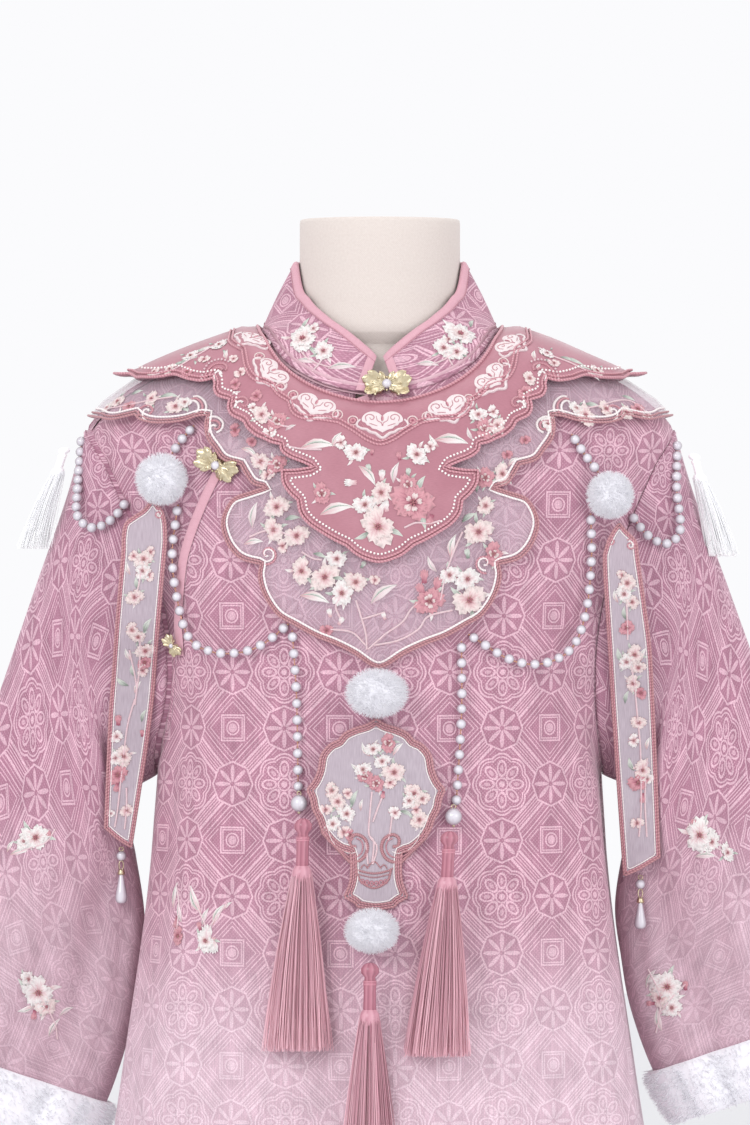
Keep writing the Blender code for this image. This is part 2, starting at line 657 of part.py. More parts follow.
def edge_distance(point, outline):
    p = Vector(point)
    nearest = 1e9
    for a, b in zip(outline, outline[1:] + outline[:1]):
        a, b = Vector(a), Vector(b)
        share = max(0.0, min(1.0, (p - a).dot(b - a) / max((b - a).length_squared, 1e-9)))
        nearest = min(nearest, (a.lerp(b, share) - p).length)
    return nearest


def fill_plan(outline, hole, inner_points):
    """Triangles of a flat outline with a hole and some inner points."""
    loops = [outline] + ([hole] if hole else [])
    coords, edges = [], []
    for loop in loops:
        start = len(coords)
        coords += [Vector(p) for p in loop]
        edges += [(start + i, start + (i + 1) % len(loop)) for i in range(len(loop))]
    coords += [Vector(p) for p in inner_points]
    verts, _, faces, *_ = geometry.delaunay_2d_cdt(coords, edges, [], 0, 1e-5)
    kept = []
    for face in faces:
        middle = sum((verts[i] for i in face), Vector((0, 0))) / len(face)
        if inside(middle, outline) and not (hole and inside(middle, hole)):
            kept.append(tuple(face))
    return [tuple(v) for v in verts], kept


def on_shoulders(x, v):
    """Point and normal on the robe for a place on the collar's cutting plan."""
    z = ridge_z(x) - abs(v)
    width = table_value(BODY, "z", "half_width", z)
    share = min(abs(x) / width, 1.0)
    angle = math.acos(share)
    angle = angle if x >= 0 else math.pi - angle
    angle = angle if v <= 0 else -angle
    point = body_point(angle, z)
    beyond = max(abs(x) - width, 0.0)
    point.x += math.copysign(beyond, x)
    return point, body_normal(angle, z)


def build_cloud_layer(name, layer):
    """One layer of the cloud collar, lifting off the robe outside its neckline."""
    outline = plan_outline(layer.edge)
    neck = plan_outline(CLOUD_NECK, layer.back_neck)
    hole = [(x * layer.neck_scale, v * layer.neck_scale) for x, v in neck]
    drops = [0, 3, 9, 18, 29, 42]
    while drops[-1] < 220:
        drops.append(drops[-1] + CLOUD_GRID)
    seeds = []
    for drop in drops:
        for x in np.arange(-190, 191, CLOUD_GRID):
            seeds += [(float(x), float(-drop)), (float(x), float(drop))] if drop else [(float(x), 0.0)]
    seeds = [p for p in seeds if inside(p, outline) and not inside(p, hole)
             and min(edge_distance(p, outline), edge_distance(p, hole)) > 5.0]
    plan, faces = fill_plan(outline, hole, seeds)
    points = [on_shoulders(x, v)[0] for x, v in plan]
    normals = mesh_normals(points, faces)
    outward = [on_shoulders(x, v)[1] for x, v in plan]
    if sum(n.dot(o) for n, o in zip(normals, outward)) < 0:
        faces = [tuple(reversed(face)) for face in faces]
    lifts = []
    for place in plan:
        share = min(edge_distance(place, hole) / NECK_EASE, 1.0)
        lifts.append(NECK_LIFT + (layer.lift - NECK_LIFT) * share * share * (3 - 2 * share))
    highs = [lift + layer.thick for lift in lifts]
    wall(name, points, outward, faces, lifts, highs, layer.slot)


# ---------------------------------------------------------------- what hangs in front
class Front:
    """The pieces built so far, as met by what is laid on them."""

    def __init__(self, names):
        self.trees = []
        self.points = []
        for name in names:
            self.add(name)

    def add(self, name):
        mesh = bpy.data.objects[name].data
        points = [v.co / MM for v in mesh.vertices]
        self.trees.append(BVHTree.FromPolygons(points, [tuple(p.vertices) for p in mesh.polygons]))
        self.points += points
        self.points += [(points[a] + points[b]) / 2 for a, b in (e.vertices for e in mesh.edges)]

    def y(self, x, z, reach=0.0):
        """Depth of the frontmost surface within a reach of a place, or None."""
        found = []
        for dx, dz in ((0, 0), (reach, 0), (-reach, 0), (0, reach), (0, -reach)):
            for tree in self.trees:
                hit = tree.ray_cast(Vector((x + dx, -900, z + dz)), Vector((0, 1, 0)))
                if hit[0] is not None:
                    found.append(hit[0].y)
        return min(found) if found else None

    def settle(self, bm, toward=Vector((0, 1, 0))):
        """Moves a piece along a direction until it lies SEAT from what it meets first."""
        bm.normal_update()
        own = BVHTree.FromBMesh(bm)
        sources = [v.co for v in bm.verts]
        for edge in bm.edges:
            ends = [v.co for v in edge.verts]
            sources += [ends[0].lerp(ends[1], share) for share in (0.2, 0.4, 0.6, 0.8)]
        rooms = []
        for source in sources:
            rooms += [tree.ray_cast(source, toward)[3] for tree in self.trees]
        low = [min(v.co[i] for v in bm.verts) for i in (0, 2)]
        high = [max(v.co[i] for v in bm.verts) for i in (0, 2)]
        across_y = abs(toward.y) > 0.5
        for point in self.points:
            if across_y and not (low[0] < point.x < high[0] and low[1] < point.z < high[1]):
                continue
            rooms.append(own.ray_cast(point, -toward)[3])
        rooms = [room for room in rooms if room is not None]
        if rooms:
            bmesh.ops.translate(bm, vec=toward * (min(rooms) - SEAT), verts=bm.verts)

    def lay(self, name, bm, slot, toward=Vector((0, 1, 0))):
        """Seats a piece on what is behind it, and adds it to the pieces built."""
        self.settle(bm, toward)
        add_object(name, bm, slot)
        self.add(name)


def smooth_route(route, step):
    """Points at even steps along a smooth curve through the route."""
    fine = []
    ends = [route[0]] + list(route) + [route[-1]]
    for a, b, c, d in zip(ends, ends[1:], ends[2:], ends[3:]):
        for t in np.linspace(0, 1, 12, endpoint=False):
            weights = (-t + 2 * t * t - t ** 3, 2 - 5 * t * t + 3 * t ** 3,
                       t + 4 * t * t - 3 * t ** 3, t ** 3 - t * t)
            fine.append(sum((Vector((p.x, p.z)) * w / 2 for p, w in zip((a, b, c, d), weights)),
                            Vector((0, 0))))
    fine.append(Vector((route[-1].x, route[-1].z)))
    lengths = np.cumsum([0.0] + [(q - p).length for p, q in zip(fine, fine[1:])])
    count = max(2, round(lengths[-1] / step) + 1)
    at = np.linspace(0, lengths[-1], count)
    xs = np.interp(at, lengths, [p.x for p in fine])
    zs = np.interp(at, lengths, [p.y for p in fine])
    return [(float(x), float(z)) for x, z in zip(xs, zs)]


def tube(points, radius, sides):
    """Bmesh of a round string through points, closed at both ends."""
    bm = bmesh.new()
    rings = []
    for i, point in enumerate(points):
        ahead = points[min(i + 1, len(points) - 1)] - points[max(i - 1, 0)]
        ahead.normalize()
        side = ahead.cross(Vector((0, 1, 0))).normalized()
        toward = side.cross(ahead).normalized()
        rings.append([bm.verts.new(point + radius * (math.cos(t) * side + math.sin(t) * toward))
                      for t in (2 * math.pi * k / sides for k in range(sides))])
    for low, high in zip(rings, rings[1:]):
        for i in range(sides):
            j = (i + 1) % sides
            bm.faces.new((low[i], low[j], high[j], high[i]))
    bm.faces.new(rings[0])
    bm.faces.new(rings[-1])
    return bm


def ease(depths):
    """The depths smoothed along a run, never behind the first ones."""
    near = [min(depths[max(i - 1, 0):i + 2]) for i in range(len(depths))]
    windows = [near[max(i - 1, 0):i + 2] for i in range(len(near))]
    return [sum(w) / len(w) for w in windows]


def build_strings(front):
    for name, route in STRINGS.items():
        places = smooth_route(route, STRING_STEP)
        depths = [front.y(x, z, PEARL) for x, z in places]
        known = [d for d in depths if d is not None]
        depths = [min(known) if d is None else d for d in depths]
        eased = ease(depths)
        points = [Vector((x, d - PEARL - 0.35, z)) for (x, z), d in zip(places, eased)]
        front.lay(name, tube(points, PEARL, STRING_SIDES), "pearl")


def flat_panel(name, outline, front, slot):
    """A flat hanging piece that lies on what is behind it, curved with it from top to bottom."""
    plan = [(p.x, p.z) for p in outline]
    tall = max(z for _, z in plan) - min(z for _, z in plan)
    middle = [(sum(x for x, _ in plan) / len(plan), z)
              for z in np.linspace(min(z for _, z in plan), max(z for _, z in plan), 9)[1:-1]]
    middle = [p for p in middle if inside(p, plan) and edge_distance(p, plan) > tall / 60]
    verts, faces = fill_plan(plan, None, middle)
    heights = sorted({round(z, 1) for _, z in verts})
    depth_at = []
    for z in heights:
        row = [x for x, v in verts if abs(v - z) < tall / 8]
        places = np.linspace(min(row), max(row), 5)
        depth_at.append(min(front.y(float(x), z, 6.0) or 0.0 for x in places))
    eased = ease(depth_at)
    points = [Vector((x, float(np.interp(z, heights, eased)) - 1.0, z)) for x, z in verts]
    normals = [Vector((0, -1, 0))] * len(points)
    if mesh_normals(points, faces)[0].y > 0:
        faces = [tuple(reversed(face)) for face in faces]
    front.lay(name, wall_mesh(points, normals, faces, 0.0, ORGANZA), slot)


def build_tassel(name, size, front):
    """Knot, wrapped neck and a skirt of strands grown from the neck's underside."""
    depths = []
    for share in np.linspace(0, 1, 8):
        x = size.x + (size.bottom_x - size.x) * float(share)
        z = size.top_z + (size.bottom_z - size.top_z) * float(share)
        depth = front.y(x, z, size.head + (size.skirt - size.head) * 0.6 * float(share))
        if depth is not None:
            depths.append(depth - size.head - 0.5 - size.skirt * 0.1 * float(share))
    free = not depths
    carrier_y = front.y(size.carrier_x, size.top_z, PEARL) if free else None
    y_top = carrier_y + PEARL if free else min(depths)
    lean = (size.bottom_x - size.x) / (size.top_z - size.bottom_z)
    long = size.top_z - size.bottom_z
    profile = [(0.35, 0), (0.95, 0.025), (1.0, 0.07), (0.72, 0.11), (0.8, 0.2), (1.0, 0.24)]
    sides = size.sides
    bm = bmesh.new()
    rings = []
    for scale, down in profile:
        z = size.top_z - long * down
        x = size.x + lean * long * down
        rings.append([bm.verts.new((x + size.head * scale * math.cos(2 * math.pi * k / sides),
                                    y_top + size.head * scale * math.sin(2 * math.pi * k / sides), z))
                      for k in range(sides)])
    for low, high in zip(rings, rings[1:]):
        for i in range(sides):
            j = (i + 1) % sides
            bm.faces.new((low[i], low[j], high[j], high[i]))
    bm.faces.new(rings[0])
    root_z = size.top_z - long * profile[-1][1]
    centre_x = size.x + lean * long * profile[-1][1]
    circles = [rings[-1]]
    for share in (0.62, 0.3):
        circles.append([bm.verts.new((centre_x + size.head * share * math.cos(2 * math.pi * k / sides),
                                      y_top + size.head * share * math.sin(2 * math.pi * k / sides),
                                      root_z - 0.5)) for k in range(sides)])
    roots = []
    for outer, inner in zip(circles, circles[1:]):
        for i in range(sides):
            j = (i + 1) % sides
            roots.append(bm.faces.new((outer[i], outer[j], inner[j], inner[i])))
    bm.faces.new(circles[-1])
    bm.normal_update()
    strands = bmesh.ops.extrude_discrete_faces(bm, faces=roots)["faces"]
    for number, face in enumerate(strands):
        middle = face.calc_center_median()
        away = Vector((middle.x - centre_x, middle.y - y_top, 0)) / size.head
        uneven = 1 - 0.05 * ((number * 7) % 5) / 4
        target_z = root_z - (root_z - size.bottom_z) * uneven
        target = Vector((size.bottom_x + away.x * size.skirt, y_top + away.y * size.skirt * 0.45, target_z))
        for vert in face.verts:
            offset = vert.co - middle
            vert.co = target + Vector((offset.x * size.skirt / size.head, offset.y, 0)) * 0.6
    inward = Vector((-math.copysign(1, size.x), 0, 0))
    front.lay(name, bm, size.colour, inward if free else Vector((0, 1, 0)))


def build_pompom(name, size, front):
    """A ball of fur as a round core with thick locks standing from its faces."""
    y = front.y(size.x, size.z, size.across * 0.7)
    y = (-30.0 if y is None else y) - size.across * 0.92
    bm = bmesh.new()
    core_share = 0.72
    bmesh.ops.create_icosphere(bm, subdivisions=1, radius=core_share)
    locks = bmesh.ops.extrude_discrete_faces(bm, faces=list(bm.faces))["faces"]
    for face in locks:
        middle = face.calc_center_median()
        tip = middle.normalized()
        for vert in face.verts:
            vert.co = tip * 0.96 + (vert.co - middle) * 0.72
    bmesh.ops.scale(bm, vec=(size.across, size.across * 0.85, size.up), verts=bm.verts)
    bmesh.ops.translate(bm, vec=(size.x, y, size.z), verts=bm.verts)
    front.lay(name, bm, "fur_white")


def build_clasp(name, place, front):
    """Two leaf wings and a round centre, as one gold plate."""
    long = place.half_length
    wing = [(0.18, 0.2), (0.45, 0.5), (0.75, 0.52), (1.0, 0.18), (0.86, -0.06), (0.98, -0.34),
            (0.68, -0.5), (0.4, -0.42), (0.18, -0.26)]
    outline = [(x * long, z * long) for x, z in wing] + [(-x * long, z * long) for x, z in reversed(wing)]
    turn = math.radians(place.tilt)
    bm = bmesh.new()
    thick = 2.4
    places = [(place.x + x * math.cos(turn) - z * math.sin(turn),
               place.z + x * math.sin(turn) + z * math.cos(turn)) for x, z in outline]
    depths = [front.y(x, z, 5.0) for x, z in places]
    middle = front.y(place.x, place.z, 8.0)
    faces = []
    for out in (0.6, 0.6 + thick):
        ring = [bm.verts.new((x, min(depth, middle + 4.0) - out, z))
                for (x, z), depth in zip(places, depths)]
        faces.append(ring)
    for i in range(len(outline)):
        j = (i + 1) % len(outline)
        bm.faces.new((faces[0][i], faces[0][j], faces[1][j], faces[1][i]))
    bm.faces.new(faces[0])
    bm.faces.new(faces[1])
    front.lay(name, bm, "gold")


def build_pearl(name, x, z, radius, front):
    y = front.y(x, z, radius)
    y = (-30.0 if y is None else y) - radius - 0.4
    bm = bmesh.new()
    bmesh.ops.create_icosphere(bm, subdivisions=2, radius=radius)
    bmesh.ops.translate(bm, vec=(x, y, z), verts=bm.verts)
    front.lay(name, bm, "pearl")


def build_drop(name, x, top_z, bottom_z, front):
    """A pearl, its link, a gold cap and a long pearl drop, turned as one piece."""
    y = front.y(x, (top_z + bottom_z) / 2, 6.0)
    y = (-30.0 if y is None else y) - 5.0
    tall = top_z - bottom_z
    shape = [(0.3, 1.0), (3.2, 0.93), (3.2, 0.86), (0.6, 0.78), (0.6, 0.62), (2.6, 0.57), (2.2, 0.5),
             (3.2, 0.28), (4.1, 0.12), (2.6, 0.02), (0.4, 0.0)]
    profile = [(radius, bottom_z + tall * share) for radius, share in shape]
    front.lay(name, lathe_mesh(profile, 8, centre=(x, y)), "pearl")


# ---------------------------------------------------------------- dress form
def build_form():
    """Limbless torso: neck, shoulders, bust, waist and hips, closed top and bottom."""
    FormSection = namedtuple("FormSection", "z half_width front back")
    rows = [
        FormSection(830, 128, 92, 98), FormSection(836, 138, 98, 106), FormSection(900, 146, 104, 112),
        FormSection(980, 136, 98, 96), FormSection(1040, 124, 88, 82), FormSection(1100, 134, 96, 86),
        FormSection(1160, 146, 104, 90), FormSection(1220, 158, 100, 86), FormSection(1270, 167, 90, 80),
        FormSection(1300, 171, 82, 73),
    ]
    for z in SHOULDER_ROWS:
        width = min(table_value(BODY, "z", "half_width", z + FORM_DROP), 171.0)
        front_depth = min(table_value(BODY, "z", "front", z) - 6.0, 56 + (1350 - z) * 0.6)
        rows.append(FormSection(z, width, front_depth, table_value(BODY, "z", "back", z) - 5.0))
    rows += [
        FormSection(1374, 60, 53, 55), FormSection(1392, 54.2, 52.5, 54.5),
        FormSection(1410, 53.8, 52.5, 54.5), FormSection(1447, 53.8, 54, 54.5),
        FormSection(NECK_TOP_Z, 53, 53.2, 53.7),
    ]
    sides = 28
    bm = bmesh.new()
    rings = []
    for row in rows:
        ring = []
        for k in range(sides):
            turn = 2 * math.pi * k / sides
            depth = row.front if math.sin(turn) >= 0 else row.back
            ring.append(bm.verts.new((row.half_width * math.cos(turn), -depth * math.sin(turn), row.z)))
        rings.append(ring)
    for low, high in zip(rings, rings[1:]):
        for i in range(sides):
            j = (i + 1) % sides
            bm.faces.new((low[i], low[j], high[j], high[i]))
    bm.faces.new(rings[0])
    bm.faces.new(rings[-1])
    add_object("form_body", bm, "linen")
    pole_top = rows[0].z - 0.3
    pole = [(POLE_RADIUS, BASE_HEIGHT + 0.3), (POLE_RADIUS, pole_top)]
    add_object("form_pole", lathe_mesh(pole, 20), "foot_white")
    base = [(BASE_RADIUS, 0), (BASE_RADIUS, BASE_HEIGHT * 0.5), (BASE_RADIUS * 0.94, BASE_HEIGHT),
            (POLE_RADIUS * 2, BASE_HEIGHT)]
    add_object("form_base", lathe_mesh(base, 40), "foot_white")


def main():
    for old in list(bpy.data.objects):
        bpy.data.objects.remove(old)
    build_form()
    build_back()
    build_front_under()
    build_front_over()
    for side, name in ((1, "right"), (-1, "left")):
        build_sleeve(side, f"sleeve_{name}")
        build_cuff(side, f"cuff_{name}")
    build_collar()
    build_collar_binding()
    build_placket_binding()
    for name, layer in CLOUD_LAYERS.items():
        build_cloud_layer(name, layer)
    front = Front(["back", "front_under", "front_over", "sleeve_left", "sleeve_right", "collar",
                   "collar_binding", "placket_binding", "cloud_lower", "cloud_upper"])
    for name, place in CLASPS.items():
        build_clasp(name, place, front)
    pendant = [EdgePoint(PENDANT_X + p.x, p.z) for p in PENDANT_HALF]
    pendant += [EdgePoint(PENDANT_X - p.x, p.z) for p in reversed(PENDANT_HALF[1:-1])]
    flat_panel("pendant", pendant, front, "organza_lilac")
    build_strings(front)
    flat_panel("ribbon_left", RIBBON_LEFT, front, "organza_lilac")
    flat_panel("ribbon_right", RIBBON_RIGHT, front, "organza_lilac")
    for name, size in POMPOMS.items():
        build_pompom(name, size, front)
    for name, place in BIG_PEARLS.items():
        build_pearl(name, place.x, place.z, BIG_PEARL, front)
    for name, place in DROPS.items():
        build_drop(name, place.x, place.top_z, place.bottom_z, front)
    for name, size in TASSELS.items():
        build_tassel(name, size, front)


main()
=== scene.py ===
"""Looks of a hanfu robe with a cloud collar, standing on a limbless dress form.

Lengths in the tables and in the shape functions are millimetres. +X is the viewer's
right, -Y the robe's front, +Z up. A piece is turned to metres when it is made.
"""
import math
from functools import partial

import bpy
import numpy as np
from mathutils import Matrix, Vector, geometry
from mathutils.bvhtree import BVHTree


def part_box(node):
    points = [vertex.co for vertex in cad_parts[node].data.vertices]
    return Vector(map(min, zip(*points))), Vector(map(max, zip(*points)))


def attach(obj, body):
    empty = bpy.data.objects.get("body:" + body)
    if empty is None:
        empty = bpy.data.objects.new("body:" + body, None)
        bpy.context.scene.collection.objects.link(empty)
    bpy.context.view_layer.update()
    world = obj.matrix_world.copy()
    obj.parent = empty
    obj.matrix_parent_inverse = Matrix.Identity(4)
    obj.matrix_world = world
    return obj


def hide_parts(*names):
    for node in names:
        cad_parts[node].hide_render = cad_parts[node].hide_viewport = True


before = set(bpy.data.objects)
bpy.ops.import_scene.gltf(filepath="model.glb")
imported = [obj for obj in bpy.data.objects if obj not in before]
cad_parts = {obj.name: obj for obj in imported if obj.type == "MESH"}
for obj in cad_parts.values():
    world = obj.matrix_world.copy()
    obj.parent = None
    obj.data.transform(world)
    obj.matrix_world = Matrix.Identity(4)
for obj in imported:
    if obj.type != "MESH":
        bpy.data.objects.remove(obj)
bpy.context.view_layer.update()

MM = 0.001
rng = np.random.default_rng(11)


def table(text):
    """Rows of a table: rows part at commas, words and numbers at spaces."""
    return [tuple(word if word[0].isalpha() else float(word) for word in row.split())
            for row in text.split(",")]


def tables(text):
    """Several tables, which part at semicolons."""
    return [table(part) for part in text.split(";")]


# ---------------- camera and light
VIEW_X, VIEW_Z = -3.3, 1219.95   # what the middle of the view looks at
VIEW_HEIGHT = 742.5              # height of the view at the robe's front
FRONT_Y = -90.0
CAMERA_AWAY = 5200.0             # a long lens from the far side of a studio
SENSOR = 36.0
# soft boxes: where they stand and what they aim at in metres, their side and their power
LIGHTS = {"key_softbox": ((-1.6, -2.6, 2.5), (0, 0, 1.1), 1.2, 32),
          "fill_softbox": ((2.2, -2.4, 1.7), (0, 0, 1.1), 1.8, 18),
          "top_softbox": ((0.1, 0.3, 3.2), (0, 0, 1.2), 1.4, 9)}


def colour(text):
    """Linear colour of an sRGB hex value."""
    parts = [int(text[i:i + 2], 16) / 255 for i in (1, 3, 5)]
    return (*(c / 12.92 if c <= 0.04045 else ((c + 0.055) / 1.055) ** 2.4 for c in parts), 1.0)


def link(name, data):
    made = bpy.data.objects.new(name, data)
    bpy.context.scene.collection.objects.link(made)
    return made


def set_studio():
    scene = bpy.context.scene
    scene.view_settings.view_transform = "Standard"
    scene.world = bpy.data.worlds.new("studio")
    scene.world.use_nodes = True
    back = scene.world.node_tree.nodes["Background"]
    back.inputs["Color"].default_value = colour("#FBFBFD")
    back.inputs["Strength"].default_value = 1.0
    data = bpy.data.cameras.new("camera")
    data.sensor_fit, data.sensor_height = "VERTICAL", SENSOR
    data.lens = SENSOR * CAMERA_AWAY / VIEW_HEIGHT
    data.clip_end = 50
    scene.camera = link("camera", data)
    scene.camera.location = (VIEW_X * MM, (FRONT_Y - CAMERA_AWAY) * MM, VIEW_Z * MM)
    scene.camera.rotation_euler = (math.pi / 2, 0, 0)
    for name, (where, aim, size, power) in LIGHTS.items():
        data = bpy.data.lights.new(name, "AREA")
        data.shape, data.size, data.energy = "SQUARE", size, power
        made = link(name, data)
        made.location = where
        made.rotation_euler = (Vector(aim) - Vector(where)).to_track_quat("-Z", "Y").to_euler()


# ---------------- making pieces
class Form:
    """Gathers the faces of one piece, each with its place on the cloth and its finish."""

    def __init__(self):
        self.points, self.places, self.faces, self.finishes, self.count = [], [], [], [], 0

    def add(self, points, faces, places=None, finish=0):
        """Adds points and faces between them; returns the number of the first point."""
        points = np.asarray(points, float).reshape(-1, 3)
        places = np.zeros((len(points), 2)) if places is None else np.asarray(places, float)
        self.points.append(points)
        self.places.append(places.reshape(-1, 2))
        first = self.count
        self.count += len(points)
        self.join(faces, first, finish)
        return first

    def join(self, faces, first, finish=0):
        """Adds faces between points that are there, numbered from the first one."""
        self.faces.append(np.asarray(faces, int) + first)
        self.finishes.append(np.full(len(faces), int(finish)))

    def tree(self, groups=None):
        """The first groups of faces, or all, as they are met by what is laid on them."""
        faces = [tuple(face) for group in self.faces[:groups] for face in group.tolist()]
        return BVHTree.FromPolygons([tuple(p) for p in np.concatenate(self.points)], faces)

    def make(self, name, finishes, stands_for=(), slot=None):
        """Makes the object, rides it on the root, and hides the solids it stands for."""
        mesh = bpy.data.meshes.new(name)
        points = np.concatenate(self.points) * MM
        loops = np.concatenate([group.ravel() for group in self.faces])
        sides = np.concatenate([np.full(len(g), g.shape[1]) for g in self.faces])
        mesh.vertices.add(len(points))
        mesh.vertices.foreach_set("co", points.ravel())
        mesh.loops.add(len(loops))
        mesh.loops.foreach_set("vertex_index", loops)
        mesh.polygons.add(len(sides))
        mesh.polygons.foreach_set("loop_start", np.cumsum(sides) - sides)
        layer = mesh.uv_layers.new(name="cloth")
        layer.data.foreach_set("uv", np.concatenate(self.places)[loops].ravel())
        for finish in finishes:
            mesh.materials.append(finish)
        mesh.polygons.foreach_set("material_index", np.concatenate(self.finishes))
        mesh.update(calc_edges=True)
        mesh.validate()
        mesh.shade_smooth()
        made = link(name, mesh)
        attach(made, "root")
        if stands_for:
            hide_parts(*stands_for)


def grid_faces(rows, columns, closed=False):
    """Quads of a grid whose points are listed row by row."""
    r, c = np.meshgrid(np.arange(rows - 1), np.arange(columns if closed else columns - 1), indexing="ij")
    d = (c + 1) % columns
    return np.stack([r * columns + c, (r + 1) * columns + c, (r + 1) * columns + d, r * columns + d],
                    axis=-1).reshape(-1, 4)


def unit(vectors):
    return vectors / np.maximum(np.linalg.norm(vectors, axis=-1, keepdims=True), 1e-12)


def pairs(a, b):
    """Two arrays, spread to one shape and joined on a last axis."""
    return np.stack(np.broadcast_arrays(a, b), -1)


def run_of(path):
    """Distance along a line at each of its points."""
    return np.concatenate([[0], np.cumsum(np.linalg.norm(np.diff(path, axis=0), axis=-1))])


def along_line(at, length, path):
    """Points of a line at the given distances along it."""
    return np.stack([np.interp(at, length, path[:, i]) for i in range(path.shape[1])], -1)


def turns(sides):
    """Even angles round a circle."""
    return np.linspace(0, 2 * math.pi, sides, endpoint=False)


def face_normals(points, faces):
    """Area-weighted unit normals at the points of a sheet."""
    sums = np.zeros_like(points)
    a, b, c, last = (points[faces[:, i]] for i in (0, 1, 2, -1))
    normal = np.cross(c - a, last - b) if faces.shape[1] == 4 else np.cross(b - a, c - a)
    for corner in faces.T:
        np.add.at(sums, corner, normal)
    return unit(sums)


def rim_faces(faces, count):
    """Quads that close the edges of a doubled sheet, whose second layer starts at count."""
    ends = np.stack([faces, np.roll(faces, -1, axis=1)], axis=-1).reshape(-1, 2)
    keys = ends[:, 0] * (count + 1) + ends[:, 1]
    other = ends[:, 1] * (count + 1) + ends[:, 0]
    a, b = ends[~np.isin(keys, other)].T
    return np.stack([b, a, a + count, b + count], axis=-1)


def add_wall(form, points, normals, faces, low, high, places, inner_finish=0):
    """Adds a cloth wall: the sheet moved out by low and by high, closed round its edges."""
    count = len(points)
    layers = [points + normals * np.broadcast_to(at, count)[:, None] for at in (high, low)]
    first = form.add(np.concatenate(layers), faces, np.tile(places.reshape(-1, 2), (2, 1)))
    form.join(faces[:, ::-1] + count, first, inner_finish)
    form.join(rim_faces(faces, count), first)


def add_node(tree, kind, inputs=(), output=0, **settings):
    """Adds one node with its settings, fills or links its inputs, and returns one output.

    After a point the kind gives the node's operation or type of data; a text is a colour.
    The inputs of a MapRange are its value, from low, from high, to low and to high.
    """
    kind, _, mode = kind.partition(".")
    made = tree.nodes.new("ShaderNode" + kind)
    if mode:
        setattr(made, "data_type" if kind == "Mix" else "operation", mode)
    for name, value in settings.items():
        setattr(made, name, value)
    for key, value in (inputs.items() if isinstance(inputs, dict) else enumerate(inputs)):
        if isinstance(value, bpy.types.NodeSocket):
            tree.links.new(value, made.inputs[key])
        else:
            made.inputs[key].default_value = colour(value) if isinstance(value, str) else value
    return made.outputs[output] if made.outputs else made


def start_finish(name):
    """A new material, and the function that adds a node to it."""
    made = bpy.data.materials.new(name)
    made.use_nodes = True
    made.node_tree.nodes.clear()
    return made, partial(add_node, made.node_tree)


def end_finish(n, tone, rough, relief=None, more={}):
    """Joins a finish to its surface; relief is a height, its strength and its depth in metres."""
    if relief:
        more = {**more, "Normal": n("Bump", dict(zip(("Height", "Strength", "Distance"), relief)))}
    n("OutputMaterial", [n("BsdfPrincipled", {"Base Color": tone, "Roughness": rough, **more})])


# ---------------- the robe's surface
HEM_Z, UNDERARM_Z, SHOULDER_Z, NECK_SIDE_Z, NECK_BACK_Z = 560.0, 1078.0, 1309.0, 1376.0, 1381.0
CLOTH, SEAM, UNDER_STEP, TUCK_WIDTH = 1.5, 0.4, 3.0, 0.32
ARMHOLE_FRONT, ARMHOLE_BACK = 56.0, 50.0
# height, half width, depth in front, depth behind, folds, how far the side tucks in
BODY = np.array(table("""
    560 243 172 164 11 20, 720 218 152 144 8.5 24, 880 193 136 128 6 26, 1040 167 124 114 4 18,
    1130 157 118 107 2.6 5, 1190 168 115 102 1.5 0, 1235 183 111 98 0.6 0, 1285 195 102 90 0 0,
    1309 197 94 83 0 0, 1326 182 86 77 0 0, 1344 155 77 71 0 0, 1359 120 70 66 0 0, 1376 75 62 62 0 0,
    1390 62 58 60 0 0"""))
WIDTH, FRONT, BACK, FOLD, TUCK = 1, 2, 3, 4, 5
# place across and height: the neckline, and the free edge of the lap
NECKLINE = np.array(table("0 1334, 0.05 1335, 0.138 1340, 0.226 1348, 0.395 1362, 0.66 1372.5, 1 1376"))
PLACKET = np.array(table("""
    -1 1066, -0.86 1082, -0.74 1105, -0.665 1150, -0.63 1178, -0.531 1222, -0.374 1284, -0.18 1314,
    0 1334"""))


def bend(a, b, slope_a, slope_b, t):
    """Smooth way from a to b with the given slopes at its ends."""
    return (a * (1 + 2 * t) * (1 - t) ** 2 + b * t * t * (3 - 2 * t)
            + t * (1 - t) * (slope_a * (1 - t) - slope_b * t))


def table_value(rows, column, at):
    """Smooth values of one column of a table at places along its first column."""
    keys, values = rows[:, 0], rows[:, column]
    slopes = np.gradient(values, keys)
    at = np.clip(at, keys[0], keys[-1])
    i = np.clip(np.searchsorted(keys, at, side="right") - 1, 0, len(keys) - 2)
    span = keys[i + 1] - keys[i]
    return bend(values[i], values[i + 1], slopes[i] * span, slopes[i + 1] * span, (at - keys[i]) / span)


def body_points(angle, z):
    """Outer face of the robe. Angle 0 is the viewer's right, 90 degrees the front."""
    angle, z = np.broadcast_arrays(np.asarray(angle, float), np.asarray(z, float))
    width = table_value(BODY, WIDTH, z)
    depth = np.where(np.sin(angle) >= 0, table_value(BODY, FRONT, z), table_value(BODY, BACK, z))
    wave = 0.62 * np.cos(8 * angle + 0.9) + 0.38 * np.cos(13 * angle + 2.1 + z / 260)
    near_side = np.exp(-(np.sin(angle) / TUCK_WIDTH) ** 2)
    outward = unit(np.stack([np.cos(angle) / width, -np.sin(angle) / depth, np.zeros_like(z)], -1))
    base = np.stack([width * np.cos(angle), -depth * np.sin(angle), z], -1)
    move = table_value(BODY, FOLD, z) * wave * (1 - near_side) - table_value(BODY, TUCK, z) * near_side
    return base + outward * move[..., None]


def body_normals(angle, z):
    across = body_points(angle - 0.01, z) - body_points(angle + 0.01, z)
    up = body_points(angle, z + 1) - body_points(angle, z - 1)
    return unit(np.cross(across, up))


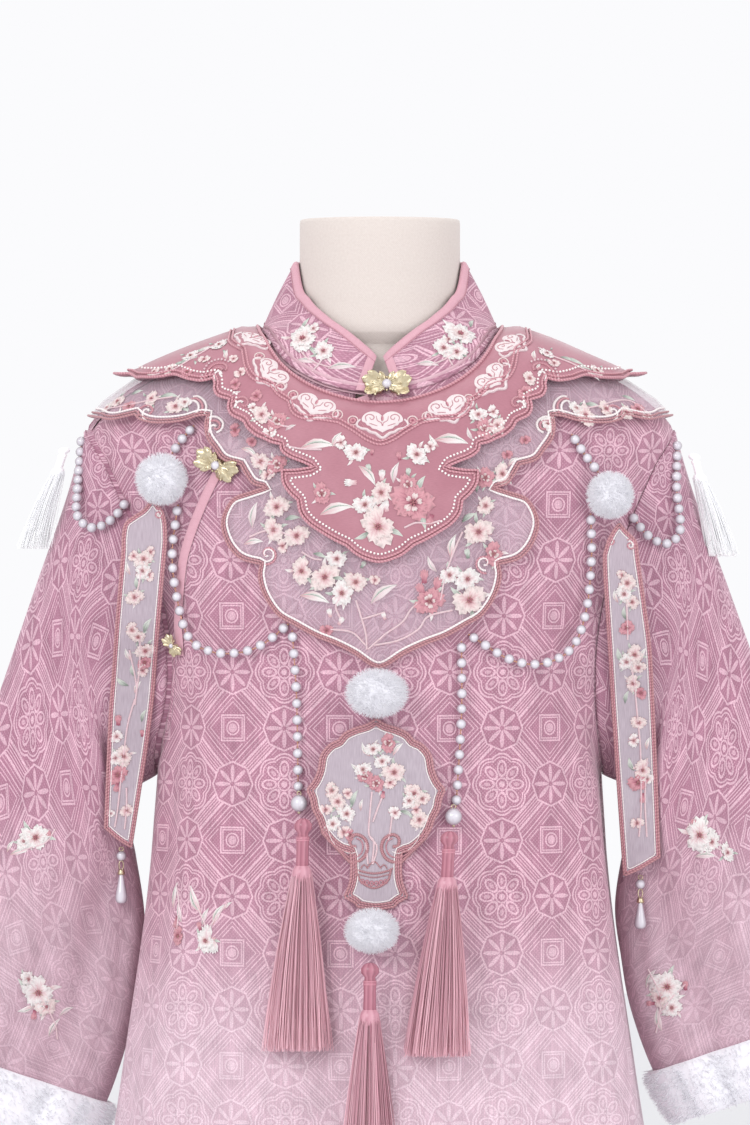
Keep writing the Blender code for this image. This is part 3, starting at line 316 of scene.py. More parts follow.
def armhole_angle(z, reach, column):
    depth = table_value(BODY, column, z)
    share = np.clip((SHOULDER_Z - z) / (SHOULDER_Z - UNDERARM_Z), 0, 1)
    edge = reach * np.sqrt(4 * share * (1 - share))
    return np.maximum(SEAM / depth, np.arcsin(edge / depth))


def front_angle(across, z):
    return math.pi / 2 - across * (math.pi / 2 - armhole_angle(z, ARMHOLE_FRONT, FRONT))


def over_angle(across, z):
    gap = SEAM / table_value(BODY, FRONT, z)
    return np.where(across >= 0, front_angle(across, z), math.pi / 2 - across * (math.pi / 2 - gap))


def back_angle(across, z):
    return -math.pi / 2 + across * (math.pi / 2 - armhole_angle(z, ARMHOLE_BACK, BACK))


def neck_front_z(across):
    return table_value(NECKLINE, 1, np.abs(across))


def neck_back_z(across):
    return NECK_SIDE_Z + (NECK_BACK_Z - NECK_SIDE_Z) * (1 - np.asarray(across) ** 2)


def placket_z(across):
    return np.interp(across, PLACKET[:, 0], PLACKET[:, 1])


# ---------------- finishes
# How the woven lattice is drawn: each row names a value, a sum and what goes in. u and v
# lie across and along the cloth in millimetres, in repeats of 74; a value called mark_...
# is 1 on a line. 0.39269908 is an eighth of a half turn.
LATTICE = (
    table("""
    x WRAP u 37 -37, x ABSOLUTE x, y WRAP v 37 -37, y ABSOLUTE y""")
    # the medallion: two scalloped rings, eight loops, a ringed heart and fine dots behind
    + table("""
    reach MULTIPLY x x, reach MULTIPLY_ADD y y reach, reach SQRT reach, turn ARCTAN2 y x,
    lobes MULTIPLY turn 4, lobes COSINE lobes, lobes ABSOLUTE lobes, scallop MULTIPLY_ADD lobes 2.2 18,
    mark_scallop COMPARE reach scallop 0.62, scallop MULTIPLY_ADD lobes 2 16,
    mark_inner_scallop COMPARE reach scallop 0.45, fold WRAP turn 0.39269908 -0.39269908,
    out COSINE fold, out MULTIPLY out reach, out SUBTRACT out 10.4, out MULTIPLY out 0.6,
    off SINE fold, off MULTIPLY off reach, loop MULTIPLY out out, loop MULTIPLY_ADD off off loop,
    loop SQRT loop, mark_loops COMPARE loop 2.9 0.5, seed LESS_THAN loop 1.3,
    mark_loop_seeds MULTIPLY seed 0.7, mark_heart_ring COMPARE reach 4 0.5,
    mark_heart LESS_THAN reach 2, across MULTIPLY u 2.5, across SINE across, down MULTIPLY v 2.5,
    down SINE down, dots MULTIPLY across down, dots GREATER_THAN dots 0.3, within LESS_THAN reach 17,
    within MULTIPLY_ADD within 0.2 0.26, mark_dots MULTIPLY dots within""")
    # the star between two medallions: eight pointed rays in an eight-cornered frame
    + table("""
    major MAXIMUM x y, minor MINIMUM x y, past SUBTRACT major 37, ray MULTIPLY past past,
    ray MULTIPLY_ADD minor minor ray, ray SQRT ray, turn ARCTAN2 minor past, points MULTIPLY turn 4,
    points COSINE points, points ABSOLUTE points, points POWER points 1.7, points MULTIPLY points 12.8,
    star LESS_THAN ray points, eye GREATER_THAN ray 1.6, star MULTIPLY star eye,
    mark_star MULTIPLY star 0.86, past ABSOLUTE past, first MULTIPLY minor 0.383,
    first MULTIPLY_ADD past 0.924 first, second MULTIPLY minor 0.924,
    second MULTIPLY_ADD past 0.383 second, frame MAXIMUM first second,
    mark_frame COMPARE frame 13.6 0.6, free GREATER_THAN frame 13.6""")
    # the box: a double square round a ringed seed, in a diamond
    + table("""
    side SUBTRACT 37 x, rise SUBTRACT 37 y, box MAXIMUM side rise, mark_box COMPARE box 8.4 0.55,
    mark_inner_box COMPARE box 6.8 0.4, seed MULTIPLY side side, seed MULTIPLY_ADD rise rise seed,
    seed SQRT seed, mark_seed_ring COMPARE seed 4.4 0.5, seed LESS_THAN seed 3,
    mark_seed MULTIPLY seed 0.8, diamond ADD side rise, beyond GREATER_THAN box 10,
    fret COMPARE diamond 17.4 0.5, line COMPARE diamond 20.4 0.4, fret MAXIMUM fret line,
    line COMPARE diamond 24 0.6, fret MAXIMUM fret line, fret MULTIPLY fret beyond,
    mark_fret MULTIPLY fret free""")
    # slanting bands of seven lines that stop at the stars and the medallions
    + table("""
    band ADD x y, band SUBTRACT band 37, band ABSOLUTE band, threads COMPARE band 0 0.5,
    thread COMPARE band 2.5 0.5, threads MAXIMUM threads thread, thread COMPARE band 5.5 1.2,
    threads MAXIMUM threads thread, thread COMPARE band 9.2 0.5, thread MULTIPLY thread 0.6,
    threads MAXIMUM threads thread, clear GREATER_THAN reach 21, threads MULTIPLY threads free,
    mark_threads MULTIPLY threads clear"""))


def lattice_mask(n, places):
    """The woven lattice: n adds nodes, places is the cloth place; 1 on a line, 0 beside it."""
    value = {"u": n("SeparateXYZ", [places]), "v": n("SeparateXYZ", [places], output=1), "mark": 0.0}
    for name, operation, *parts in LATTICE:
        value[name] = n("Math." + operation, [value.get(part, part) for part in parts])
        if name.startswith("mark_"):
            value["mark"] = n("Math.MAXIMUM", [value["mark"], value[name]])
    return value["mark"]


def robe_cloth(name, ground, line, faded_ground, faded_line, fade):
    """Polyester jacquard with a soft hand, dyed to fade towards the hem and the cuffs.

    The eye reads pale lattice lines on rose, fine upright streaks from uneven yarn, and a
    low sheen. The streaks are drawn at 1 mm, some four times coarser than the yarn.
    """
    made, n = start_finish(name)
    places = n("UVMap", uv_map="cloth")
    streaks = n("TexNoise", {"Vector": n("VectorMath.MULTIPLY", [places, (1.1, 0.09, 1)]),
                             "Scale": 1.0, "Detail": 3.0})
    mottle = n("TexNoise", {"Vector": n("VectorMath.MULTIPLY", [places, (0.09, 0.05, 1)]),
                            "Scale": 1.0, "Detail": 4.0})
    lines = lattice_mask(n, places)
    grain = n("TexNoise", {"Vector": places, "Scale": 1.3, "Detail": 3.0, "Roughness": 0.7})
    worn = n("MapRange", [grain, 0.32, 0.56, 0.4, 1.0])
    strength = n("Math.MULTIPLY", [lines, worn])
    height = n("SeparateXYZ", [n("TexCoord", output=3)], output=2)
    faded = n("MapRange", [height, *fade], interpolation_type="SMOOTHSTEP")
    base = n("Mix.RGBA", {6: ground, 7: faded_ground, 0: faded}, output=2)
    mark = n("Mix.RGBA", {6: line, 7: faded_line, 0: faded}, output=2)
    both = n("Mix.RGBA", {6: base, 7: mark, 0: n("Math.MULTIPLY", [strength, 0.92])}, output=2)
    shade = n("MapRange", [n("Math.ADD", [streaks, mottle]), 0.7, 1.3, 0.8, 1.14])
    speckle = n("MapRange", [grain, 0.3, 0.7, 0.82, 1.15])
    shaded = n("VectorMath.SCALE", {0: both, "Scale": n("Math.MULTIPLY", [shade, speckle])})
    end_finish(n, shaded, n("MapRange", [strength, 0, 1, 0.72, 0.52]),
               (n("Math.MULTIPLY_ADD", [lines, 0.35, streaks]), 0.35, 0.0004),
               {"Sheen Weight": 0.25, "Sheen Roughness": 0.4, "Specular IOR Level": 0.35})
    return made


def lining_cloth():
    """Plain polyester lining: an even, slightly glossy pale pink with fine ribs."""
    made, n = start_finish("lining")
    rib = n("TexNoise", {"Vector": n("VectorMath.MULTIPLY", [n("TexCoord", output=3), (900, 900, 60)]),
                         "Scale": 1.0, "Detail": 2.0})
    end_finish(n, n("Mix.RGBA", {6: "#D9AEBB", 7: "#E6C5CE", 0: rib}, output=2), 0.55, (rib, 0.2, 0.0002))
    return made


def cord_finish(name, dark, light):
    """Viscose cord: two plies twisted together, with painted highlight on each ply and painted shade in the
    grooves, in slanting bands.
    """
    made, n = start_finish(name)
    places = n("UVMap", uv_map="cloth")
    slant = n("Math.ADD", [n("SeparateXYZ", [places]), n("SeparateXYZ", [places], output=1)])
    ply_relief_and_shade = n("Math.SINE", [n("Math.MULTIPLY", [slant, 6.283])])
    ply_relief_and_shade = n("Math.MULTIPLY_ADD", [ply_relief_and_shade, 0.5, 0.5])
    # the twist is relief and painted light at once: lighter on each ply's crest, darker in the groove
    # between plies
    end_finish(n, n("Mix.RGBA", {6: dark, 7: light, 0: ply_relief_and_shade}, output=2), 0.5, (ply_relief_and_shade, 0.5, 0.0004),
               {"Sheen Weight": 0.2})
    return made


def thread_finish(name, root, tip):
    """Embroidery silk in flat rows: fine threads side by side, shaded from root to tip."""
    made, n = start_finish(name)
    places = n("UVMap", uv_map="cloth")
    uneven = n("TexNoise", {"Vector": places, "Scale": 1.3, "Detail": 2.0})
    row = n("Math.MULTIPLY_ADD", [n("SeparateXYZ", [places]), 2.1, uneven])
    thread = n("Math.SINE", [n("Math.MULTIPLY", [row, 6.283])])
    share = n("Math.ADD", [n("SeparateXYZ", [places], output=1), n("Math.SUBTRACT", [uneven, 0.5])])
    tone = n("Mix.RGBA", {6: root, 7: tip, 0: n("MapRange", [share, 0, 0.72])}, output=2)
    shade = n("Math.MULTIPLY_ADD", [thread, 0.1, 0.92])
    end_finish(n, n("VectorMath.SCALE", {0: tone, "Scale": shade}), 0.42, (thread, 0.45, 0.0003),
               {"Sheen Weight": 0.3, "Sheen Roughness": 0.3})
    return made


def satin_cloth():
    """Silk satin, backed: dusty rose with soft lighter patches of painted sheen at random places, and faint
    cross ribs.
    """
    made, n = start_finish("satin_rose")
    places = n("UVMap", uv_map="cloth")
    ribs = n("TexNoise", {"Vector": n("VectorMath.MULTIPLY", [places, (0.35, 2.4, 1)]),
                          "Scale": 1.0, "Detail": 3.0})
    # painted sheen: large soft patches of lighter rose stand for the bloom of satin
    cloud = n("TexNoise", {"Vector": places, "Scale": 0.045, "Detail": 2.0})
    tone = n("Mix.RGBA", {6: "#A26674", 7: "#B67F8B", 0: cloud}, output=2)
    shade = n("MapRange", [ribs, 0.3, 0.7, 0.92, 1.06])
    end_finish(n, n("VectorMath.SCALE", {0: tone, "Scale": shade}), 0.46, (ribs, 0.3, 0.0003),
               {"Sheen Weight": 0.35, "Sheen Roughness": 0.35, "Anisotropic": 0.4})
    return made


def organza_cloth(name, thin, thick, clear):
    """Silk organza: sheer, crisp, with a grey-lilac cast and threads that catch the light."""
    made, n = start_finish(name)
    places = n("UVMap", uv_map="cloth")
    warp = n("TexNoise", {"Vector": n("VectorMath.MULTIPLY", [places, (2.2, 0.12, 1)]),
                          "Scale": 1.0, "Detail": 3.0})
    drift = n("Math.MULTIPLY", [n("TexNoise", {"Vector": places, "Scale": 0.03, "Detail": 2.0}), 0.12])
    cover = n("Math.ADD", [n("Math.MULTIPLY_ADD", [warp, 0.24, clear - 0.18]), drift])
    end_finish(n, n("Mix.RGBA", {6: thin, 7: thick, 0: warp}, output=2), 0.4, (warp, 0.35, 0.0003),
               {"Alpha": cover, "Sheen Weight": 0.5, "Sheen Roughness": 0.3})
    return made


def plain_cloth(name, dark, light, rough, scale):
    """Plain woven cloth: a fine over-and-under grid with small changes of tone."""
    made, n = start_finish(name)
    places = n("UVMap", uv_map="cloth")
    fine = n("VectorMath.MULTIPLY", [places, (scale, scale, 1)])
    weft, warp = (n("Math.SINE", [n("SeparateXYZ", [fine], output=i)]) for i in (0, 1))
    noise = n("TexNoise", {"Vector": places, "Scale": 0.6, "Detail": 4.0})
    mixed = n("Math.MULTIPLY_ADD", [n("Math.MULTIPLY", [weft, warp]), 0.22, noise])
    end_finish(n, n("Mix.RGBA", {6: dark, 7: light, 0: mixed}, output=2), rough, (mixed, 0.3, 0.0003),
               {"Sheen Weight": 0.15})
    return made


def pearl_finish():
    """Imitation pearl: smooth lacquer over a pale blue-white body, with painted shade that darkens it
    towards its rim as seen by the camera.
    """
    made, n = start_finish("pearl")
    # painted shade: the colour goes dark where the surface turns away from the view
    facing = n("LayerWeight", {"Blend": 0.5}, output=1)
    end_finish(n, n("Mix.RGBA", {6: "#DDD9E1", 7: "#806D78", 0: facing}, output=2), 0.16, None,
               {"Coat Weight": 0.9, "Coat Roughness": 0.05, "Specular IOR Level": 0.7, "Sheen Weight": 0.1})
    return made


def bead_finish():
    """Small glass seed bead, milk white."""
    made, n = start_finish("seed_bead")
    glow = n("TexNoise", {"Vector": n("TexCoord", output=3), "Scale": 900.0})
    end_finish(n, n("Mix.RGBA", {6: "#F3E9E6", 7: "#FFFDFB", 0: glow}, output=2), 0.25)
    return made


def gold_finish(name, dark, light):
    """Gold plate, cast or drawn, then tumbled: warm yellow, darker and lighter in small random patches."""
    made, n = start_finish(name)
    gold_mottle = n("TexNoise", {"Vector": n("TexCoord", output=3), "Scale": 420.0, "Detail": 3.0})
    end_finish(n, n("Mix.RGBA", {6: dark, 7: light, 0: gold_mottle}, output=2),
               n("MapRange", [gold_mottle, 0, 1, 0.4, 0.2]), (gold_mottle, 0.4, 0.0004),
               {"Metallic": 1.0})
    return made


def strand_finish(name, dark, light, rough, sheen, glow=0.0):
    """Loose strands, of silk or fur: each strand a little lighter or darker than the next and lighter
    towards its tip; glow is painted light, an emission in the strand's own colour.
    """
    made, n = start_finish(name)
    places = n("UVMap", uv_map="cloth")
    pick = n("Math.MULTIPLY", [n("SeparateXYZ", [places]), 0.65])
    along = n("Math.MULTIPLY", [n("SeparateXYZ", [places], output=1), 0.35])
    tone = n("Mix.RGBA", {6: dark, 7: light, 0: n("Math.ADD", [pick, along])}, output=2)
    # the emission is painted light: the strands glow so that their own shade darkens them less
    end_finish(n, tone, rough, None,
               {"Sheen Weight": sheen, "Sheen Roughness": 0.3, "Specular IOR Level": 0.5,
                "Emission Color": tone, "Emission Strength": glow})
    return made


ROBE = robe_cloth("robe_jacquard", "#AB788C", "#E6BFCC", "#CBACB9", "#E4CCD6", (1.02, 0.88))
ROBE_SLEEVE = robe_cloth("sleeve_jacquard", "#A77489", "#E3BCCA", "#BFA0AC", "#D4B7C3", (1.08, 0.95))
LINING = lining_cloth()
SATIN = satin_cloth()
ORGANZA = organza_cloth("organza_lilac", "#CCB5C3", "#F0DEE9", 0.22)
ORGANZA_THICK = organza_cloth("organza_backed", "#AA9AA6", "#D3C7D0", 0.78)
CORD = cord_finish("salmon_cord", "#B27380", "#D29BA4")
WHITE_CORD = cord_finish("white_cord", "#E6DADB", "#F8F1EF")
ROSE_CORD = cord_finish("rose_cord", "#A26E76", "#C28D92")
BIAS = plain_cloth("bias_cotton", "#CA96A4", "#D8A9B5", 0.7, 5.0)
PIPING = cord_finish("seam_thread", "#AC6F80", "#C68B9A")
LINEN = plain_cloth("linen", "#CEC3BC", "#DED5CF", 0.85, 4.2)
FOOT = plain_cloth("lacquered_steel", "#C8C6C2", "#D6D4D0", 0.4, 0.01)
BEAD = bead_finish()
PEARL = pearl_finish()
GOLD = gold_finish("gold_plate", "#A28C66", "#F0E7CB")
WIRE = gold_finish("gilt_wire", "#A8725C", "#E0B59C")
# the last number of each is its glow: painted light given off in the strands' own colour
SILK_PINK = strand_finish("silk_pink_strands", "#AC6D7F", "#FFCFDA", 0.28, 0.5, 0.06)
SILK_WHITE = strand_finish("silk_white_strands", "#F2F2F6", "#FFFFFF", 0.34, 0.3, 0.1)
FUR = strand_finish("fur_white", "#DBDADF", "#EDECF1", 0.7, 0.4, 0.15)
WRAP = strand_finish("silk_wrap", "#8F5263", "#D08E9E", 0.24, 0.2)
# what flowers, clouds and scrolls are worked in; the rows of work give places in this list
SILKS = [*(thread_finish("silk_" + name, root, tip) for name, root, tip in (
    ("white_petal", "#E0B0B6", "#F9F3F1"), ("cream_petal", "#DA9FA8", "#F6E4E1"),
    ("coral_petal", "#A4536A", "#DE9FA9"), ("white_cloud", "#DFC2C7", "#F6E8E9"),
    ("leaf", "#7F8C80", "#DADFD6"), ("stem", "#EFCBD2", "#FAE8EB"), ("knots", "#B5707A", "#CDBE9A"))),
    WHITE_CORD, CORD, ROSE_CORD]


# ---------------- robe panels
# Soft creases of the body: place across at the top and at the hem as shares of the half
# width, the height where they start, their depth and their half width.
FRONT_CREASES = table("""
    -0.84 -0.8 1230 2.6 13, -0.66 -0.62 1120 2.2 15, -0.36 -0.42 1080 1.5 14, -0.12 -0.18 960 1.6 16,
    0.2 0.13 1010 1.3 13, 0.42 0.4 1140 1.9 15, 0.63 0.66 1170 2.3 13, 0.82 0.86 1240 2.6 12,
    0.93 0.95 1180 2.2 8""")
BACK_CREASES = table("""
    -0.86 -0.83 1240 2.6 13, -0.6 -0.66 1160 2.3 15, -0.33 -0.36 1230 1.7 15, -0.05 -0.1 1150 1.9 16,
    0.24 0.2 1200 1.7 15, 0.5 0.47 1120 2.1 14, 0.74 0.79 1220 2.5 13""")
PANEL_ROWS = 180


def crease_depth(creases, across, z):
    """How far the listed troughs draw the cloth in at each place."""
    total = np.zeros_like(z)
    for top, hem, start, deep, wide in creases:
        share = np.clip((start - z) / (start - HEM_Z), 0, 1)
        middle = top + (hem - top) * share + 0.012 * np.sin(z / 47 + start)
        away = (across - middle) * table_value(BODY, WIDTH, z)
        spread = wide * (1 + 0.9 * share)
        rise = np.clip((start - z) / 90, 0, 1)
        total += deep * (0.5 + share) * rise * rise * (3 - 2 * rise) * np.exp(-(away / spread) ** 2)
    return total


ARC_Z = np.linspace(HEM_Z, 1390, 60)
ARC_ANGLE = np.linspace(-math.pi, math.pi, 361)


def arc_table():
    """Distance round the robe from its front centre, by height and angle."""
    grid_z, grid_angle = np.meshgrid(ARC_Z, ARC_ANGLE, indexing="ij")
    points = body_points(grid_angle, grid_z)
    steps = np.linalg.norm(np.diff(points, axis=1), axis=-1)
    length = np.concatenate([np.zeros((len(ARC_Z), 1)), np.cumsum(steps, axis=1)], axis=1)
    middle = np.argmin(np.abs(ARC_ANGLE - math.pi / 2))
    return length[:, middle:middle + 1] - length


ARC = arc_table()
PROFILE = run_of(body_points(np.full(60, math.pi / 2), ARC_Z))
LATTICE_X, LATTICE_Z = 84.0, 1074.0      # where a medallion of the lattice lies


def cloth_place(angle, z):
    """Place on the cloth: distance round from the front centre, and height along it."""
    angle = (angle + math.pi) % (2 * math.pi) - math.pi
    column = (angle + math.pi) / (2 * math.pi) * 360
    row = np.clip((z - ARC_Z[0]) / (ARC_Z[1] - ARC_Z[0]), 0, len(ARC_Z) - 1.001)
    c, r = np.clip(column.astype(int), 0, 359), row.astype(int)
    s, t = column - c, row - r
    u = ((ARC[r, c] * (1 - s) + ARC[r, c + 1] * s) * (1 - t)
         + (ARC[r + 1, c] * (1 - s) + ARC[r + 1, c + 1] * s) * t)
    v = np.interp(z, ARC_Z, PROFILE) - np.interp(LATTICE_Z, ARC_Z, PROFILE)
    return np.stack([u - LATTICE_X, v], -1)


def front_top(across):
    return np.where(across >= 0, neck_front_z(across), placket_z(across))


# first and last place across, columns, top edge, angle, creases and lift of each panel
PANELS = {"front_over": (-1, 1, 132, front_top, over_angle, FRONT_CREASES, 0.0),
          "front_under": (-1, -0.05, 36, neck_front_z, front_angle, FRONT_CREASES, -UNDER_STEP),
          "back": (-1, 1, 100, neck_back_z, back_angle, BACK_CREASES, 0.0)}


def build_panel(name):
    """A panel of the robe from its top edge to the hem, with its creases."""
    first, last, columns, top_z, angle_of, creases, lift = PANELS[name]
    across = np.linspace(first, last, columns)
    across = 0.35 * np.sin(math.pi / 2 * across) + 0.65 * across      # closer at the sides
    z = HEM_Z + (top_z(across) - HEM_Z) * (1 - np.linspace(0, 1, PANEL_ROWS)[:, None])
    across = np.broadcast_to(across, z.shape)
    angle = angle_of(across, z)
    outward = body_normals(angle, z)
    points = body_points(angle, z) - outward * crease_depth(creases, across, z)[..., None]
    form, faces, points = Form(), grid_faces(*z.shape), points.reshape(-1, 3)
    normals = face_normals(points, faces)
    if (normals * outward.reshape(-1, 3)).sum() < 0:
        faces, normals = faces[:, ::-1], -normals
    add_wall(form, points, normals, faces, lift - CLOTH, lift, cloth_place(angle, z), 1)
    form.make("robe_" + name, [ROBE, LINING], [name], "robe_pink")
    return form


# outer x and z, inner x and z, depth and long folds of each ring of a sleeve
SLEEVE = np.array(table("""
    211 1266 171 1064 47 1.5, 231 1212 164 1030 42 3.5, 254 1148 158 990 38 5.5, 279 1078 162 955 36 6.5,
    304 1008 168 922 35 6.5, 330 935 182 882 34 5.5, 345 893 202 845 34 4.5"""))
SLEEVE_DROP = 24.0               # how much lower the left sleeve hangs
SLEEVE_ROWS, SLEEVE_HALF = 100, 44
# Creases of a sleeve, front and back: share from its outer edge at the armhole and at the
# cuff, where they start along it, depth and half width as a share.
SLEEVE_CREASES = {
    1: [(0.2, 0.12, 0.1, 2.6, 0.05), (0.42, 0.3, 0.22, 3.4, 0.06), (0.62, 0.52, 0.12, 3.0, 0.05),
        (0.78, 0.74, 0.3, 4.0, 0.06), (0.9, 0.9, 0.35, 2.6, 0.04)],
    -1: [(0.25, 0.2, 0.15, 3.0, 0.06), (0.5, 0.42, 0.1, 3.2, 0.05), (0.74, 0.68, 0.3, 3.8, 0.06)]}


def sleeve_rings(side):
    """Key rings of a sleeve: down its front from the outer edge, then up its back."""
    t = np.linspace(0, 1, SLEEVE_HALF + 1)
    share = (1 - np.cos(math.pi * t)) / 2
    share = np.concatenate([share, share[-2:0:-1]])
    front = np.concatenate([np.ones(SLEEVE_HALF + 1), -np.ones(SLEEVE_HALF - 1)])
    z = SHOULDER_Z + (UNDERARM_Z - SHOULDER_Z) * share
    angle = np.where(front > 0, front_angle(side, z), back_angle(side, z))
    ring = body_points(angle, z)
    ring[[0, SLEEVE_HALF], 1] = 0
    ring[:, 0] += side * 2 * SEAM
    rings = [ring]
    for number, (ox, oz, ix, iz, depth, fold) in enumerate(SLEEVE):
        lower = (SLEEVE_DROP if side < 0 else 0) * (number + 1) / len(SLEEVE)
        round_edge = np.sqrt(np.maximum(4 * share * (1 - share), 0))
        crease = fold * np.sin(math.pi * 3.4 * share + 0.5 * number + front) * round_edge
        rings.append(np.stack([side * (ox + (ix - ox) * share), 6 - front * (depth * round_edge + crease),
                               oz + (iz - oz) * share - lower], -1))
    return np.array(rings), share, front


def sleeve_grid(side, along):
    """Points, normals, places and faces of a sleeve at shares of its length."""
    rings, share, front = sleeve_rings(side)
    last = len(rings) - 1
    slopes = np.gradient(rings, axis=0)
    at = np.clip(along * last, 0, last - 1e-9)
    i = at.astype(int)
    points = bend(rings[i], rings[i + 1], slopes[i], slopes[i + 1], (at - i)[:, None, None])
    faces = grid_faces(len(along), len(share), closed=True)
    flat = points.reshape(-1, 3)
    normals = face_normals(flat, faces)
    if normals[len(share) // 8, 1] > 0:
        faces, normals = faces[:, ::-1], -normals
    deep = np.zeros(points.shape[:2])
    for way, creases in SLEEVE_CREASES.items():
        for top, end, start, depth, wide in creases:
            run = np.clip((along - start) / (1 - start), 0, 1)[:, None]
            middle = top + (end - top) * run + 0.01 * np.sin(along * 19 + top * 9)[:, None]
            bell = np.exp(-((share[None, :] - middle) / wide) ** 2) * np.clip(run * 4, 0, 1)
            deep += np.where(front[None, :] == way, depth * bell * (0.6 + 0.6 * run), 0)
    flat = flat - normals * deep.reshape(-1)[:, None]
    normals = face_normals(flat, faces)
    points = flat.reshape(points.shape)
    middle = SLEEVE_HALF // 2
    around = np.cumsum(np.linalg.norm(np.diff(points, axis=1, append=points[:, :1]), axis=-1), axis=1)
    around = around - around[:, middle:middle + 1]
    down = run_of(points[:, middle])[:, None]
    turn = math.radians(45 + side * 3)       # the cloth of a sleeve is cut aslant
    places = np.stack([around * math.cos(turn) - down * math.sin(turn),
                       around * math.sin(turn) + down * math.cos(turn)], -1)
    return flat, normals, places.reshape(-1, 2), faces


def build_sleeve(side, name):
    points, normals, places, faces = sleeve_grid(side, np.linspace(0, 1, SLEEVE_ROWS))
    form = Form()
    add_wall(form, points, normals, faces, -CLOTH, 0.0, places, 1)
    form.make("robe_" + name, [ROBE_SLEEVE, LINING], [name], "robe_pink")
    return form


# ---------------- what a maker lays on cloth
SQUARE = 0.66                     # one square of the embroidery chart
CHART_X, CHART_TOP = 380.0, 1591.2


def chart(x, y):
    """Place of a chart square as seen from the front: across and height."""
    return (x - CHART_X) * SQUARE, CHART_TOP - SQUARE * y


class Skin:
    """The faces of finished pieces, met from in front or from behind."""

    def __init__(self, *trees):
        self.trees = trees

    def meet(self, start, way, reach=2000.0):
        hits = [hit for hit in (tree.ray_cast(start, way, reach) for tree in self.trees) if hit[0]]
        return min(hits, key=lambda hit: hit[3], default=None)

    def at(self, x, z, facing=-1):
        """Point and outward normal seen at x and z, from in front or from behind."""
        way = Vector((0, -facing, 0))
        hit = self.meet(Vector((x, facing * 900, z)), way)
        if hit is None:
            return None
        return hit[0], -hit[1] if hit[1].dot(way) > 0 else hit[1]

    def line(self, places, over, facing=-1):
        """Points lifted over the skin at places across and up, and the normals there."""
        met = [hit for hit in (self.at(x, z, facing) for x, z in places) if hit]
        return (np.array([tuple(point + normal * over) for point, normal in met]),
                np.array([tuple(normal) for _, normal in met]))

    def patch(self, x, z, facing=-1, tilt=0.0):
        """Centre, across and up directions and normal of a small flat work on the skin."""
        met = self.at(x, z, facing)
        if met is None:
            return None
        centre, normal = met
        up = Vector((0, 0, 1)) - normal * normal.z
        up = up.normalized() if up.length > 1e-3 else Vector((0, facing, 0))
        across = up.cross(normal).normalized()
        turn = math.radians(tilt)
        return (centre, across * math.cos(turn) + up * math.sin(turn),
                up * math.cos(turn) - across * math.sin(turn), normal)

    def press(self, patch, flat, rise):
        """Lays points of a flat work on the skin, each lifted by its rise."""
        centre, across, up, normal = patch
        laid = []
        for (a, b), lift in zip(flat, rise):
            over = centre + across * a + up * b + normal * 7
            hit = self.meet(over, -normal, 16)
            laid.append((hit[0] if hit else over - normal * 7) + normal * lift)
        return np.array([tuple(p) for p in laid])


def smooth_line(points, step, corners=()):
    """Even points on a smooth line through the given ones, sharp at the numbered corners."""
    points = np.asarray(points, float)
    cuts = [0, *[c for c in corners if 0 < c < len(points) - 1], len(points) - 1]
    runs = []
    for first, last in zip(cuts, cuts[1:]):
        part = points[first:last + 1]
        ends = np.concatenate([2 * part[:1] - part[1:2], part, 2 * part[-1:] - part[-2:-1]])
        fine = []
        t = np.linspace(0, 1, 10, endpoint=False)[:, None]
        for a, b, c, d in zip(ends, ends[1:], ends[2:], ends[3:]):
            fine.append(((-t + 2 * t * t - t ** 3) * a + (2 - 5 * t * t + 3 * t ** 3) * b
                         + (t + 4 * t * t - 3 * t ** 3) * c + (t ** 3 - t * t) * d) / 2)
        fine = np.concatenate([*fine, part[-1:]])
        length = run_of(fine)
        run = along_line(np.linspace(0, length[-1], max(2, round(length[-1] / step) + 1)), length, fine)
        runs.append(run[:-1] if last != cuts[-1] else run)
    return np.concatenate(runs)


def add_cord(form, path, normals, wide, high, sides=6, finish=0, twist=2.2, closed=False):
    """A round cord sewn along a path; its cloth place runs on so that it looks twisted."""
    if closed:
        ahead = unit(np.roll(path, -1, axis=0) - np.roll(path, 1, axis=0))
    else:
        ahead = unit(np.gradient(path, axis=0))
    side = unit(np.cross(ahead, np.broadcast_to(normals, path.shape)))
    out = np.cross(side, ahead)
    turn = turns(sides)
    points = (path[:, None] + side[:, None] * np.cos(turn)[:, None] * wide
              + out[:, None] * np.sin(turn)[:, None] * high)
    places = pairs(run_of(path)[:, None] / twist, turn / (2 * math.pi))
    first = form.add(points, grid_faces(len(path), sides, closed=True), places, finish)
    if closed:
        k, last = np.arange(sides), (len(path) - 1) * sides
        form.join(np.stack([last + k, k, (k + 1) % sides, last + (k + 1) % sides], -1), first, finish)


def ball_grid(fall, sides):
    """Points of a ball of radius 1, in rings at the given falls from its top."""
    turn, fall = turns(sides), fall[:, None]
    return np.stack([np.sin(fall) * np.cos(turn), np.sin(fall) * np.sin(turn), np.cos(fall) + 0 * turn], -1)


def add_ball(form, centre, radius, finish=0, rings=7, sides=10, axis=(0, 0, 1), squash=1.0):
    """A bead or pearl: a ball drawn in rings about its hole."""
    turn = Vector((0, 0, 1)).rotation_difference(Vector(axis).normalized()).to_matrix()
    grid = ball_grid(np.linspace(0.12, math.pi - 0.12, rings), sides) * (1, 1, squash)
    points = np.concatenate([grid.reshape(-1, 3), [(0, 0, squash), (0, 0, -squash)]])
    first = form.add(points @ np.array(turn).T * radius + np.asarray(centre),
                     grid_faces(rings, sides, closed=True), None, finish)
    k, last = np.arange(sides), (rings - 1) * sides
    top = np.stack([np.full(sides, last + sides), k, (k + 1) % sides], -1)
    low = np.stack([np.full(sides, last + sides + 1), last + (k + 1) % sides, last + k], -1)
    form.join(np.concatenate([top, low]), first, finish)


